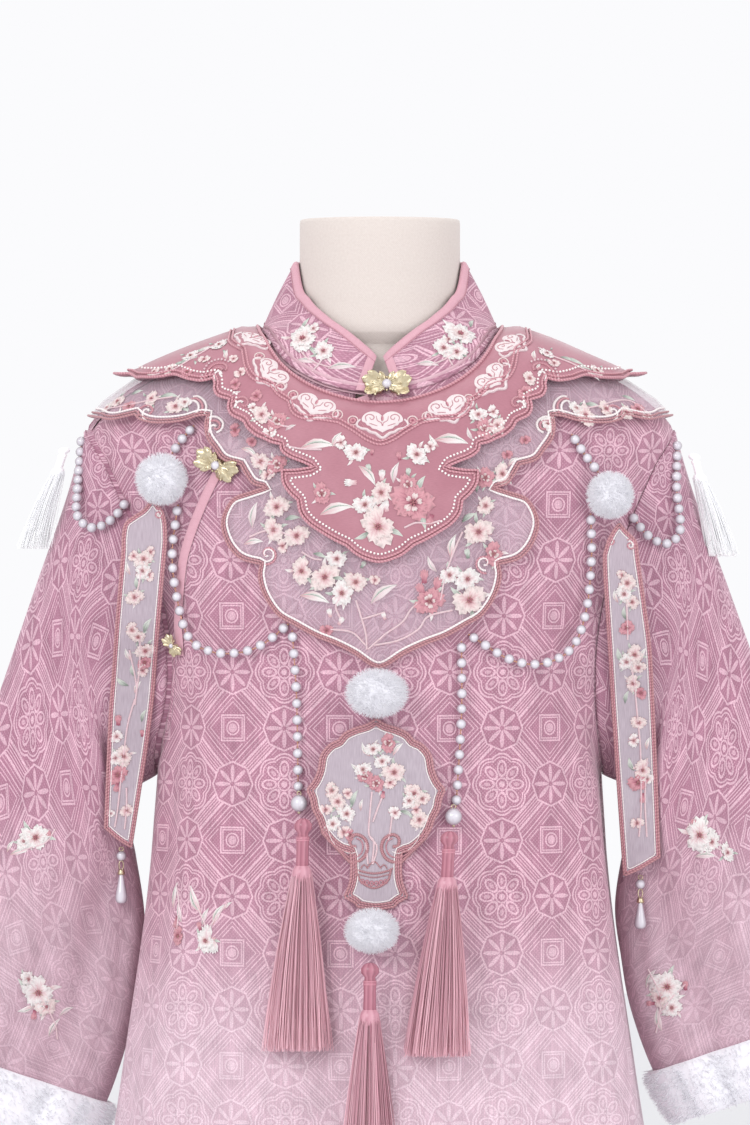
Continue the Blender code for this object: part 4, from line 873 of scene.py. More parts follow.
# ---------------- cloud collar
NECK_LIFT, NECK_EASE = 4.2, 11.0
CLOUD_NECK = table("""
    80 1376, 76.6 1366.8, 64.5 1349, 46.2 1335.1, 23.1 1326.5, 0 1323.5""")
# Edges from the shoulder to the front centre; a third number marks a sharp corner.
UPPER_EDGE = table("""
    169.5 1340 1, 165.5 1338.2, 161 1337, 155.8 1336, 142 1336.5, 133 1338, 124 1335.5, 115 1334.6,
    107.6 1336.5 1, 106.5 1333, 107 1330, 104.7 1325.5, 97 1323 1, 98 1318, 95.6 1313.2, 88 1309.5,
    85.4 1305.5, 78.5 1300.4, 70.6 1297, 63.8 1295.3 1, 63.2 1291.3, 58 1287.2, 50.2 1284, 42.2 1280.5 1,
    53.5 1278.8, 62.7 1278.6 1, 62 1270.9, 58 1264.6, 52.5 1259.5 1, 50.8 1251.5, 45.5 1244.6, 37.6 1239,
    29 1233.8, 21.6 1230.2 1, 14.5 1224.4, 7 1221, 0 1219.5""")
LOWER_EDGE = table("""
    191.5 1317 1, 187 1314.6, 181 1313.6, 175 1313, 167 1314.5, 160.5 1316 1, 157 1312.8, 150 1311,
    140 1310.6, 128.6 1311.8, 119 1314.5, 112.5 1315 1, 113.8 1309.5, 112.6 1301.5, 107 1293.6,
    101.3 1286.8, 90.5 1283.4 1, 86.5 1276.6, 82 1271, 73.5 1268.2 1, 84 1265.5, 94.5 1261.8, 100.2 1254,
    102.4 1245, 100.2 1235.6, 95.7 1227.7, 88.8 1222, 77 1218.8 1, 78.1 1210.1, 74.6 1198.6, 66 1185.8,
    54.5 1178.7, 41.6 1171.5, 28.8 1166.4, 16 1160, 6 1153, 0 1150.5 1""")
RING_EDGE = table("""
    97 1366, 97.5 1360, 95.6 1357.5, 88.8 1354 1, 86.5 1342.5, 80.9 1335.7, 70.6 1332.3 1, 66 1326.5,
    59.2 1322 1, 57 1315.2, 50.2 1311.2, 37.6 1310.1, 27 1308.4 1, 17.3 1303, 8.7 1297.4, 0 1294.5""")
RIDGE_WIDTHS, RIDGE_HEIGHTS = [75, 120, 155, 182, 197], [1376, 1359, 1344, 1326, 1309]


def ridge_z(x):
    return np.interp(np.abs(x), RIDGE_WIDTHS, RIDGE_HEIGHTS)


def whole_edge(quarter, step, back=1.0):
    """Closed edge on the cutting plan, from the quarter of it that is in front on the right."""
    right = [(x, -max(ridge_z(x) - z, 1.5), len(sharp)) for x, z, *sharp in quarter]
    right[0] = (right[0][0], 0.0, right[0][2])
    front = [(-x, v, sharp) for x, v, sharp in right[:-1]] + right[::-1]
    loop = front + [(x, -v * back, sharp) for x, v, sharp in front[-2:0:-1]]
    start = next((i for i, p in enumerate(loop) if p[2]), 0)
    loop = loop[start:] + loop[:start + 1]
    return smooth_line([p[:2] for p in loop], step, [i for i, p in enumerate(loop) if p[2]])[:-1]


def on_robe(x, v):
    """Point and normal on the robe for places on the cutting plan; v is below the ridge."""
    z = ridge_z(x) - np.abs(v)
    width = table_value(BODY, WIDTH, z)
    angle = np.arccos(np.minimum(np.abs(x) / width, 1.0))
    angle = np.where(x >= 0, angle, math.pi - angle)
    angle = np.where(v <= 0, angle, -angle)
    points = body_points(angle, z)
    points[..., 0] += np.copysign(np.maximum(np.abs(x) - width, 0), x)
    return points, body_normals(angle, z)


def edge_distance(places, loop):
    """Distance from each place to a closed line."""
    a, b = loop, np.roll(loop, -1, axis=0)
    best = np.full(len(places), 1e9)
    for start in range(0, len(places), 400):
        p = places[start:start + 400, None]
        d = b - a
        t = np.clip(((p - a) * d).sum(-1) / np.maximum((d * d).sum(-1), 1e-9), 0, 1)
        gap = np.linalg.norm(a + t[..., None] * d - p, axis=-1)
        best[start:start + 400] = gap.min(axis=1)
    return best


def inside(places, loop):
    x, y = places[:, None, 0], places[:, None, 1]
    a, b = loop, np.roll(loop, -1, axis=0)
    crosses = (a[:, 1] > y) != (b[:, 1] > y)
    run = np.where(np.abs(b[:, 1] - a[:, 1]) < 1e-9, 1e-9, b[:, 1] - a[:, 1])
    return (crosses & (x < (b[:, 0] - a[:, 0]) * (y - a[:, 1]) / run + a[:, 0])).sum(1) % 2 == 1


def inset(loop, gap):
    """The loop moved inwards, without the crossings that its corners would make."""
    ahead = np.roll(loop, -1, axis=0) - np.roll(loop, 1, axis=0)
    side = unit(np.stack([-ahead[:, 1], ahead[:, 0]], -1))
    moved = loop + side * gap
    if not inside(moved[:1], loop)[0] and inside(loop[:1] - side[:1] * gap, loop)[0]:
        moved = loop - side * gap
    kept = edge_distance(moved, loop) > abs(gap) - 0.12
    return moved[kept]


def fill_plan(outline, hole, grid):
    """Triangles of a flat outline with a hole and an even inner mesh."""
    low, high = outline.min(0), outline.max(0)
    xs, vs = np.arange(low[0], high[0], grid), np.arange(low[1], high[1], grid)
    seeds = np.stack(np.meshgrid(xs, vs), -1).reshape(-1, 2)
    coords, edges, keep = [], [], True
    for loop in [outline] if hole is None else [outline, hole]:
        keep &= (inside(seeds, loop) ^ (loop is hole)) & (edge_distance(seeds, loop) > grid * 0.45)
        start = len(coords)
        coords += [Vector(p) for p in loop]
        edges += [(start + i, start + (i + 1) % len(loop)) for i in range(len(loop))]
    coords += [Vector(p) for p in seeds[keep]]
    verts, _, faces, *_ = geometry.delaunay_2d_cdt(coords, edges, [], 0, 1e-5)
    verts = np.array([tuple(v) for v in verts])
    faces = np.array([tuple(f) for f in faces if len(f) == 3])
    middles = verts[faces].mean(axis=1)
    good = inside(middles, outline)
    if hole is not None:
        good &= ~inside(middles, hole)
    return verts, faces[good]


class CloudLayer:
    """One layer of the cloud collar: its plan, and where a place on the plan lies."""

    def __init__(self, edge, neck_scale, back_neck, lift, thick, tip_lift):
        self.outline = whole_edge(edge, 2.2)
        self.hole = whole_edge(CLOUD_NECK, 2.5, back_neck) * neck_scale
        self.lift, self.thick, self.tip_lift = lift, thick, tip_lift

    def lifts(self, plan):
        share = np.minimum(edge_distance(plan, self.hole) / NECK_EASE, 1.0)
        rise = NECK_LIFT + (self.lift - NECK_LIFT) * share * share * (3 - 2 * share)
        ripple = 0.35 * np.sin(plan[:, 0] / 13 + plan[:, 1] / 19) * share
        out = np.clip((np.abs(plan[:, 0]) - TIP_START) / TIP_RUN, 0, 1)
        return rise + ripple - 0.35 + self.tip_lift * out

    def lay(self, plan, over=0.0):
        """Points and normals on the layer's outer face, lifted a little over it."""
        points, normals = on_robe(plan[:, 0], plan[:, 1])
        rise = self.lifts(plan) + self.thick + over
        return points + normals * rise[:, None], normals

    def cloth(self, form, grid):
        plan, faces = fill_plan(self.outline, self.hole, grid)
        points, normals = on_robe(plan[:, 0], plan[:, 1])
        if (face_normals(points, faces) * normals).sum() < 0:
            faces = faces[:, ::-1]
        lifts = self.lifts(plan)
        add_wall(form, points, normals, faces, lifts, lifts + self.thick, plan)

    def cords(self, form, loop, rows, over=None):
        """Cords along a closed line: each row is inset, half width, half height and finish."""
        for gap, wide, high, finish in rows:
            path, normals = self.lay(inset(loop, gap) if gap else loop, over or high * 0.55)
            add_cord(form, path, normals, wide, high, finish=finish, closed=True)


TIP_START, TIP_RUN = 158.0, 19.0     # where the shoulder tips of a layer stand off
BEAD_STEP = 2.4                      # from one seed bead of the upper edge to the next
LOWER = CloudLayer(LOWER_EDGE, 1.12, 0.50, 4.4, 1.0, 0.0)
UPPER = CloudLayer(UPPER_EDGE, 1.0, 0.36, 8.6, 1.2, 9.0)
RING_PLAN = whole_edge(RING_EDGE, 2.0, 0.62)
# cords of the two layers: how far in from the edge, half width, half height and finish
LOWER_CORDS = ((0.0, 0.85, 0.8, 1), (1.5, 0.7, 0.7, 1), (3.1, 0.75, 0.7, 2))
UPPER_CORDS = ((0.0, 0.95, 0.9, 1), (2.1, 0.85, 0.8, 1))


def build_cloud_lower():
    """Makes the lower layer and returns the skin of its cloth."""
    form = Form()
    LOWER.cloth(form, 4.5)
    skin = Skin(form.tree(1))
    LOWER.cords(form, LOWER.outline, LOWER_CORDS)
    form.make("cloud_collar_lower", [ORGANZA, ROSE_CORD, WHITE_CORD], ["cloud_lower"], "organza_lilac")
    return skin


def build_cloud_upper():
    """Makes the upper layer, its ring and its edge of beads; returns the skin of its cloth."""
    form = Form()
    UPPER.cloth(form, 4.0)
    skin = Skin(form.tree(1))
    UPPER.cords(form, UPPER.outline, UPPER_CORDS)
    UPPER.cords(form, UPPER.hole, [(0.0, 1.1, 1.0, 1)], 0.3)
    UPPER.cords(form, RING_PLAN, [(gap, 0.75, 0.75, 1) for gap in (0.0, 2.3)], 0.35)
    edge = inset(UPPER.outline, 4.9)
    edge = np.concatenate([edge, edge[:1]])
    length = run_of(edge)
    at = np.linspace(0, length[-1], round(length[-1] / BEAD_STEP), endpoint=False)
    for centre, normal in zip(*UPPER.lay(along_line(at, length, edge), 0.35)):
        add_ball(form, centre, 0.9, 2, 4, 6, normal)
    form.make("cloud_collar_upper", [SATIN, CORD, BEAD], ["cloud_upper"], "satin_rose")
    return skin


# ---------------- stand collar and bindings
COLLAR_TOP = np.array(table("""
    0 1354, 4.6 1359.5, 11.9 1366, 21.1 1373.5, 35.6 1384, 47.5 1396, 54.1 1408, 56.5 1421.6"""))
COLLAR_SLIT, COLLAR_BACK_Z, COLLAR_HALF = 0.012, 1430.0, 56.8
COLLAR_FRONT, COLLAR_BACK, BINDING = 60.5, 61.0, 6.0
# sections of the bindings: shares of their width and how far they stand off
BINDING_ROUND = table("0 0.2, 0.08 0.85, 0.5 1, 0.92 0.95, 1 0.5, 1.06 -0.6, 0.9 -2.1")
SLIT_ROUND = table("-0.08 -0.5, 0 0.7, 0.1 0.95, 0.5 1, 0.9 0.95, 1 0.2")
PLACKET_ROUND = table("-0.06 0.1, 0 1, 0.12 1.35, 0.5 1.5, 0.9 1.4, 1 0.75")


def neck_edge(turn, lower=0.0):
    """Points on the robe just below its neckline; turn is 0 at the slit, 1 at the back."""
    side, share = np.where(turn >= 0, 1, -1), np.abs(turn)
    front = share <= 0.5
    across = side * np.where(front, np.sin(math.pi * share), np.sin(math.pi * (1 - share)))
    z = np.where(front, neck_front_z(across), neck_back_z(across)) - lower
    angle = np.where(front, front_angle(across, z), back_angle(across, z))
    return body_points(angle, z), body_normals(angle, z)


def collar_top(turn):
    angle = math.pi * turn
    front = np.cos(angle) >= 0
    x = COLLAR_HALF * np.sin(angle)
    y = -np.where(front, COLLAR_FRONT, COLLAR_BACK) * np.cos(angle)
    z = np.where(front, table_value(COLLAR_TOP, 1, np.abs(x)),
                 COLLAR_TOP[-1, 1] + (COLLAR_BACK_Z - COLLAR_TOP[-1, 1]) * (1 - np.abs(np.sin(angle))))
    return np.stack([x, y, z], -1)


def collar_points(turn, share):
    """Points on the stand collar, from its seam (share 0) to its top edge (share 1)."""
    turn, share = np.broadcast_arrays(turn, share)
    low, normal = neck_edge(turn, 2.2)
    low = low + normal * 1.1
    top = collar_top(turn)
    return low + (top - low) * share[..., None] + unit(top * (1, 1, 0)) * np.sin(math.pi * share)[..., None]


# turns from one side of the slit past the back to the other
COLLAR_TURNS = np.linspace(COLLAR_SLIT, 2 - COLLAR_SLIT, 181)
COLLAR_TURNS = np.where(COLLAR_TURNS > 1, COLLAR_TURNS - 2, COLLAR_TURNS)


def build_collar():
    turn, share = np.meshgrid(COLLAR_TURNS, np.linspace(0, 1, 16))
    points = collar_points(turn, share).reshape(-1, 3)
    form, faces = Form(), grid_faces(*turn.shape)
    normals = face_normals(points, faces)
    if (normals * (points * (1, 1, 0))).sum() < 0:
        faces, normals = faces[:, ::-1], -normals
    height = np.linalg.norm(collar_points(turn, 1.0) - collar_points(turn, 0.0), axis=-1)
    places = pairs(turn % 2 * math.pi * 60 + 30, share * height + 8)
    add_wall(form, points, normals, faces, -CLOTH, 0.0, places, 1)
    form.make("stand_collar", [ROBE, LINING], ["collar"], "robe_pink")
    return form


def add_strip(form, rows, places, finish=0):
    """A strip of cloth through rows of points."""
    rows = np.array(rows)
    form.add(rows, grid_faces(*rows.shape[:2]), places, finish)


def build_collar_binding():
    """The plain bias strip over the collar's top edge and down both sides of its slit."""
    turn, form = COLLAR_TURNS, Form()
    top, low = collar_points(turn, 1.0), collar_points(turn, 0.0)
    strip = 1 - BINDING / np.linalg.norm(top - low, axis=-1)
    out = unit(top * (1, 1, 0))
    rows = [collar_points(turn, strip + (1 - strip) * share) + out * lift for share, lift in BINDING_ROUND]
    add_strip(form, rows, pairs(turn * 190, np.arange(len(rows))[:, None] * 1.2))
    shares, (across, lifts) = np.linspace(0.02, 1.0, 14), np.array(SLIT_ROUND).T
    for side in (1, -1):
        near, rows = np.linspace(COLLAR_SLIT, 0.2, 60), []
        for share in shares:
            at = np.interp(across * BINDING, run_of(collar_points(side * near, share)), near) * side
            points = collar_points(at, share)
            rows.append(points + unit(points * (1, 1, 0)) * (lifts[:, None] + 0.06))
        add_strip(form, rows, pairs(across * BINDING, shares[:, None] * 40))
    add_cord(form, collar_points(turn, strip + 0.16 * (1 - strip)) + out, out, 0.28, 0.2, 5, 1)
    whole = np.linspace(-1, 1, 240)
    (edge, normal), (low, low_normal) = neck_edge(whole, 3.0), neck_edge(whole, -1.0)
    inner = collar_points(whole, 0.05)
    inner = inner - unit(inner * (1, 1, 0)) * 1.3
    rows = [edge - normal * 1.9, low - low_normal * 1.6 - (0, 0, 0.5), inner, inner + (0, 0, 4)]
    add_strip(form, rows, np.zeros((4, 240, 2)), 2)
    form.make("collar_binding_strip", [BIAS, PIPING, LINING], ["collar_binding"], "binding_pink")


def build_placket_binding():
    """The strip down the slanted lap, turned over its edge and stitched."""
    across = np.linspace(-0.655, -0.03, 90)
    z = placket_z(across)
    here = body_points(over_angle(across, z), z)
    along = unit(np.gradient(here, axis=0))
    form, rows = Form(), []
    for share, lift in PLACKET_ROUND:
        x = here[:, 0] + along[:, 2] * BINDING * share
        height = z - along[:, 0] * BINDING * share
        angle = np.arccos(np.clip(x / table_value(BODY, WIDTH, height), -1, 1))
        rows.append(body_points(angle, height) + body_normals(angle, height) * lift)
    length = np.cumsum(np.linalg.norm(np.gradient(here, axis=0), axis=-1))
    add_strip(form, rows, pairs(length, np.arange(len(rows))[:, None] * 1.2))
    form.make("placket_binding_strip", [BIAS], ["placket_binding"], "binding_pink")


# ---------------- dress form
FORM = np.array(table("""
    830 128 92 98, 836 138 98 106, 900 146 104 112, 980 136 98 96, 1040 124 88 82, 1100 134 96 86,
    1160 146 104 90, 1220 158 100 86, 1270 167 90 80, 1300 171 82 73"""))
SHOULDER_ROWS = (1318, 1332, 1345, 1356, 1365)
FORM_NECK = table("""
    1374 60 53 55, 1392 54.2 52.5 54.5, 1410 53.8 52.5 54.5, 1436 53.8 53.8 54.5, 1447.5 53.8 54 54.5,
    1449.4 53.4 53.6 54.1, 1450 52.4 52.6 53.1""")
FORM_SIDES = 120


def build_form():
    """Padded torso in linen, a smooth loft of level sections closed at both ends."""
    rows = [(z, min(float(table_value(BODY, WIDTH, z + 7)), 171.0),
             min(float(table_value(BODY, FRONT, z)) - 6, 56 + (1350 - z) * 0.6),
             float(table_value(BODY, BACK, z)) - 5) for z in SHOULDER_ROWS]
    rows = np.array([*FORM, *rows, *FORM_NECK])
    heights = np.unique(np.round(np.concatenate([rows[:, 0], np.linspace(840, 1440, 90)]), 2))
    width, front, back = along_line(heights, rows[:, 0], rows[:, 1:]).T[..., None]
    turn = turns(FORM_SIDES)
    depth = np.where(np.sin(turn) >= 0, front, back)
    points = np.stack([width * np.cos(turn), -depth * np.sin(turn), heights[:, None] + 0 * turn], -1)
    form = Form()
    form.add(points, grid_faces(len(heights), FORM_SIDES, closed=True), pairs(turn * 55, heights[:, None]))
    k = np.arange(FORM_SIDES)
    for ring, way in ((points[-1], 1), (points[0], -1)):
        ring = np.concatenate([ring, ring[:1] * (0, 0, 1)])
        faces = np.stack([k, (k + 1) % FORM_SIDES, np.full(FORM_SIDES, FORM_SIDES)], -1)
        form.add(ring, faces[:, ::way], ring[:, :2])
    form.make("form_padding", [LINEN], ["form_body"], "linen")


# ---------------- pearls, fur and silk
def solid_skin(name):
    """The solid by this name, as met by what takes its place."""
    mesh = bpy.data.objects[name].data
    return Skin(BVHTree.FromPolygons([v.co / MM for v in mesh.vertices],
                                     [tuple(p.vertices) for p in mesh.polygons]))


def box_of(name):
    """Lowest and highest corner of a solid, in millimetres."""
    return (np.array(corner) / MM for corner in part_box(name))


def depths_on(skin, places):
    """How deep the skin lies at places across and up; where it is missed, as beside it."""
    met = [skin.at(float(x), float(z)) for x, z in places]
    known = [i for i, hit in enumerate(met) if hit]
    return np.interp(np.arange(len(places)), known, [met[i][0].y for i in known])


PEARL_RADIUS = 3.35
# route as seen from the front, across and up, and the distance between pearls
STRINGS = {
    "swag_shoulder_left": (
        table("-200 1303, -202 1270, -201.5 1251, -191 1243, -178 1249, -169 1260"), 7.7),
    "swag_upper_left": (table("-136.5 1294, -130 1303, -124.5 1309"), 8.4),
    "swag_left": (
        table("-134 1256, -137.5 1225, -134 1195, -126 1170, -110 1161, -91 1161, -76 1167, -62 1178"), 9.6),
    "string_left": (table("-57.6 1173, -54.8 1130, -53.7 1071"), 10.9),
    "swag_shoulder_right": (table("199 1300, 198 1270, 200 1242, 191 1232.5, 178 1238, 167.5 1251"), 8),
    "swag_upper_right": (table("128 1303, 135 1292, 143 1281.5"), 8.6),
    "swag_right": (
        table("139.5 1250, 139.9 1222, 136.5 1188, 127 1164, 108 1153.5, 86 1156, 60 1171.5"), 9.6),
    "string_right": (table("53.5 1166, 53.5 1120, 50 1062"), 10.7)}
BIG_PEARLS = ("pearl_big_left", "pearl_big_right")
BIG_RADIUS = 5.7


def add_ring(form, centre, across, deep, up, thick):
    """A ring of gilt wire that faces the front."""
    turn = turns(16)
    path = np.stack([across * np.cos(turn), deep * np.sin(turn), up * np.sin(turn)], -1) + centre
    add_cord(form, path, (0, -1, 0), thick, thick, 5, 1, closed=True)


def build_string(name):
    """Pearls on gilt wire, with a small ball of it at each side of a gap."""
    route, spacing = STRINGS[name]
    places = smooth_line(route, 2.0)
    depth = depths_on(solid_skin(name), places) + PEARL_RADIUS - 0.2
    depth = np.convolve(np.pad(depth, 2, mode="edge"), np.ones(5) / 5, mode="valid")
    path = np.stack([places[:, 0], depth, places[:, 1]], -1)
    length, form = run_of(path), Form()
    add_cord(form, path, (0, -1, 0), 0.34, 0.34, 5, 1)
    count = max(2, round(length[-1] / spacing) + 1)
    end = PEARL_RADIUS * 0.6
    centres = along_line(np.linspace(end, length[-1] - end, count), length, path)
    for number, centre in enumerate(centres):
        axis = unit(centres[min(number + 1, count - 1)] - centres[max(number - 1, 0)])
        radius = PEARL_RADIUS * (1 + 0.03 * math.sin(number * 2.7))
        add_ball(form, centre, radius, 0, 9, 14, axis)
        if spacing > 8.1:
            for way in (-1, 1):
                add_ball(form, centre + axis * way * (radius + 0.45), 0.75, 1, 4, 6, axis)
    form.make(name + "_pearls", [PEARL, WIRE], [name], "pearl")


def build_big_pearl(name):
    low, high = box_of(name)
    centre = (low + high) / 2
    form = Form()
    add_ball(form, centre, BIG_RADIUS, 0, 13, 20)
    add_ring(form, centre + (0, 0, BIG_RADIUS + 0.9), 1.3, 0.25, 1.3, 0.35)
    add_ball(form, centre - (0, 0, BIG_RADIUS + 0.2), 1.1, 1, 5, 8)
    form.make(name + "_set", [PEARL, GOLD], [name], "pearl")


DROPS = {"drop_left": (-172.9, 1029, 991.9), "drop_right": (174.2, 1010, 974.8)}
DROP_CAP = table("0.3 1.6, 1.7 1.2, 2.3 0.5, 2 -0.2, 2.7 -1, 2.4 -2, 1.6 -2.2")
DROP_SHAPE = table("""
    1.4 1, 1.9 0.86, 2.6 0.66, 3.4 0.45, 4 0.28, 4.1 0.2, 3.8 0.1, 2.9 0.03, 1.6 0.006, 0.2 0""")


def lathe(form, profile, x, y, sides, finish):
    """A turned shape through rows of radius and height."""
    turn, rows = turns(sides), np.array(profile)[..., None]
    points = [x + rows[:, 0] * np.cos(turn), y + rows[:, 0] * np.sin(turn), rows[:, 1] + 0 * turn]
    form.add(np.stack(points, -1), grid_faces(len(rows), sides, closed=True), None, finish)


def build_drop(name):
    """Under a ribbon: a pearl, a wire ring, a gold cap and a long pearl drop."""
    x, top, bottom = DROPS[name]
    low, high = box_of(name)
    y = (low[1] + high[1]) / 2
    form = Form()
    add_ball(form, (x, y, top - 5.2), 3.4, 0, 9, 14)
    for middle, tall in ((top - 0.6, 1.2), (top - 11.4, 3.0)):
        add_ring(form, (x, y, middle), 1.5, 0.3, tall, 0.42)
    cap = top - 15.6
    lathe(form, [(r, cap + z) for r, z in DROP_CAP], x, y, 18, 1)
    lathe(form, [(r, bottom + (cap - 2.0 - bottom) * z) for r, z in DROP_SHAPE], x, y, 22, 0)
    form.make(name + "_pearl", [PEARL, GOLD], [name], "pearl")


def add_strands(form, roots, tips, bulge, thick, steps, taper=0.15):
    """Many three-sided strands, each from its root to its tip with a bulge half way."""
    count = len(roots)
    share = np.linspace(0, 1, steps + 1)
    path = roots[:, None] + (tips - roots)[:, None] * share[None, :, None]
    path = path + bulge[:, None] * (4 * share * (1 - share))[None, :, None]
    ahead = unit(tips - roots)
    side = unit(np.cross(ahead, ahead[:, [1, 2, 0]] + 0.01))
    turn = turns(3)[:, None]
    ring = side[:, None] * np.cos(turn) + np.cross(ahead, side)[:, None] * np.sin(turn)
    width = thick * (1 - (1 - taper) * share ** 1.5)
    points = path[:, :, None] + ring[:, None] * width[None, :, None, None]
    first = np.arange(count)[:, None, None] * (steps + 1) * 3
    faces = first + grid_faces(steps + 1, 3, closed=True)
    places = pairs(rng.random(count)[:, None, None], np.repeat(share[:, None], 3, axis=1))
    form.add(points, faces.reshape(-1, 4), places)


POMPOMS = {"pompom_left": (18.0, 18.0), "pompom_right": (16.5, 16.5), "pompom_centre": (21.5, 17.0),
           "pompom_low": (18.8, 15.5)}
POMPOM_HAIRS = 3400


def build_pompom(name):
    """A ball of rabbit fur: a soft core with fine hairs standing out unevenly."""
    across, up = POMPOMS[name]
    low, high = box_of(name)
    centre = (low + high) / 2
    radii = np.array([across, across * 0.85, up])
    form = Form()
    ball = ball_grid(np.linspace(0.08, math.pi - 0.08, 14), 24)
    lumps = 0.76 + 0.03 * np.sin(ball[..., :1] * 5 + ball[..., 2:] * 7)
    form.add(ball * lumps * radii + centre, grid_faces(14, 24, closed=True), np.tile((0.5, 0.4), (336, 1)))
    way = unit(rng.normal(size=(POMPOM_HAIRS, 3)))
    tip = unit(way + rng.normal(scale=0.10, size=(POMPOM_HAIRS, 3)) + (0, 0, -0.04))
    reach = 0.94 + 0.09 * rng.random((POMPOM_HAIRS, 1))
    add_strands(form, way * 0.7 * radii + centre, tip * reach * radii + centre,
                rng.normal(scale=0.7, size=(POMPOM_HAIRS, 3)), 0.26, 1)
    form.make(name + "_fur", [FUR], [name], "fur_white")


# top x and z, bottom x and z, head and skirt radius, strands, whether it is white
TASSELS = {
    "tassel_left": (-50.2, 1052.5, -54.0, 900, 6.0, 22.0, 520, 0),
    "tassel_right": (45.5, 1044.5, 37.5, 897, 6.0, 22.0, 520, 0),
    "tassel_centre": (-6.5, 959, -8.0, 808, 6.0, 20.0, 520, 0),
    "tassel_shoulder_left": (-211, 1297, -232, 1229, 4.0, 11.0, 280, 1),
    "tassel_shoulder_right": (210, 1293, 229, 1224, 4.0, 11.0, 280, 1)}
# knot, neck and dome of a tassel's head: share of its height down, share of its radius
TASSEL_HEAD = tables("""
    0 0.3, 0.008 0.7, 0.025 1, 0.045 0.98, 0.062 0.6, 0.075 0.62;
    0.075 0.6, 0.085 0.72, 0.13 0.68, 0.17 0.7, 0.2 0.72, 0.21 0.62;
    0.2 0.6, 0.207 0.86, 0.222 1.06, 0.245 1.14, 0.27 1""")
SKIRT_DOWN = 0.212        # where the skirt leaves the head


def build_tassel(name):
    """Silk tassel: a knot, a neck bound in bright thread, and a straight even skirt."""
    x, top, bottom_x, bottom, head, skirt, count, white = TASSELS[name]
    tall = top - bottom
    lean = bottom_x - x
    y = solid_skin(name).at(x, top - tall * 0.07)[0].y + head
    form = Form()

    def spots(down, reach, turn):
        return np.stack([x + lean * down + reach * np.cos(turn), y + reach * np.sin(turn),
                         top - tall * down + 0 * turn], -1)

    stripe = 0.5 + 0.5 * np.sin(np.arange(24) * 2.1)
    for part, tone, finish in zip(TASSEL_HEAD, (0.9, 0.9, 0.4), (1, 1, 0)):
        down, radius = np.array(part).T[..., None]
        form.add(spots(down, head * radius, turns(24)), grid_faces(len(part), 24, closed=True),
                 np.tile(pairs(stripe * tone, 0.4), (len(part), 1)), finish)
    for wrap in np.linspace(0.08, 0.094, 3):
        path = spots(wrap, head * 0.7, turns(24))
        add_cord(form, path, unit(path - path.mean(0)), 0.4, 0.4, 5, 1, closed=True)
    spread = np.sqrt(rng.random(count))
    turn = rng.random(count) * 2 * math.pi
    roots = spots(SKIRT_DOWN, spread * head * 1.12, turn) - np.outer(0.03 * tall * spread ** 4, (0, 0, 1))
    reach = skirt * (spread + rng.normal(scale=0.06, size=count))
    tips = np.stack([bottom_x + reach * np.cos(turn), y + 0.45 * reach * np.sin(turn),
                     bottom + tall * 0.035 * rng.random(count) ** 2], -1)
    bulge = (tips - roots) * (0.06, 0.06, 0) + rng.normal(scale=0.7, size=(count, 3)) * (1, 0.8, 0)
    add_strands(form, roots, tips, bulge, 0.3 if white else 0.37, 5, taper=0.75)
    form.make(name + "_silk", [SILK_WHITE, SILK_WHITE] if white else [SILK_PINK, WRAP], [name],
              "silk_white" if white else "silk_pink")


CUFF_HAIRS = 5200


def build_cuff(side, name):
    """White fur band round the end of the sleeve, rounded at both edges."""
    along = np.linspace(6.08 / 7, 1.0, 9)
    points, normals, _, faces = sleeve_grid(side, along)
    share = np.clip(7 * along - 6, 0, 1)
    rise = 1.6 + 4.6 * np.sqrt(1 - (2 * share - 1) ** 2)
    rise = np.repeat(rise, len(points) // len(along))
    body = points + normals * rise[:, None]
    form = Form()
    add_wall(form, points, normals, faces, 1.4, rise, np.tile((0.5, 0.4), (len(points), 1)))
    corner = faces[rng.integers(0, len(faces), CUFF_HAIRS)].T
    a, b = rng.random((2, CUFF_HAIRS, 1))
    roots = (body[corner[0]] * (1 - a) * (1 - b) + body[corner[1]] * a * (1 - b)
             + body[corner[2]] * a * b + body[corner[3]] * (1 - a) * b)
    out = normals[corner[0]]
    way = unit(out + rng.normal(scale=0.28, size=(CUFF_HAIRS, 3)) + (0, 0, -0.25))
    room = np.clip(10.6 - rise[corner[0]], 2.0, 5.2)[:, None]
    tips = roots + way * room * (0.75 + 0.4 * rng.random((CUFF_HAIRS, 1)))
    add_strands(form, roots - out * 0.6, tips, rng.normal(scale=0.5, size=(CUFF_HAIRS, 3)), 0.42, 1)
    form.make(name + "_fur", [FUR], [name], "fur_white")


# ---------------- embroidery
def stitch(form, skin, patch, path, widths, high, finish, along=False, over=0.0):
    """A raised band of silk on a path in a patch's plane; threads lie across it or along it."""
    side = unit(np.gradient(path, axis=0))[:, ::-1] * (-1, 1)
    shape, wide = np.array([-1, -0.55, 0.55, 1]), np.asarray(widths)[:, None]
    flat = path[:, None] + side[:, None] * (shape * wide)[..., None]
    rise = 0.08 + over + high * np.sqrt(1 - shape ** 2) * np.minimum(wide, 1) ** 0.5
    length = run_of(path)[:, None]
    if along:
        places = pairs(shape * wide, length / max(length[-1, 0], 1e-6))
    else:
        places = pairs(length, 0.5 + 0.5 * shape)
    laid = skin.press(patch, flat.reshape(-1, 2), rise.reshape(-1))
    form.add(laid, grid_faces(*rise.shape), places, finish)


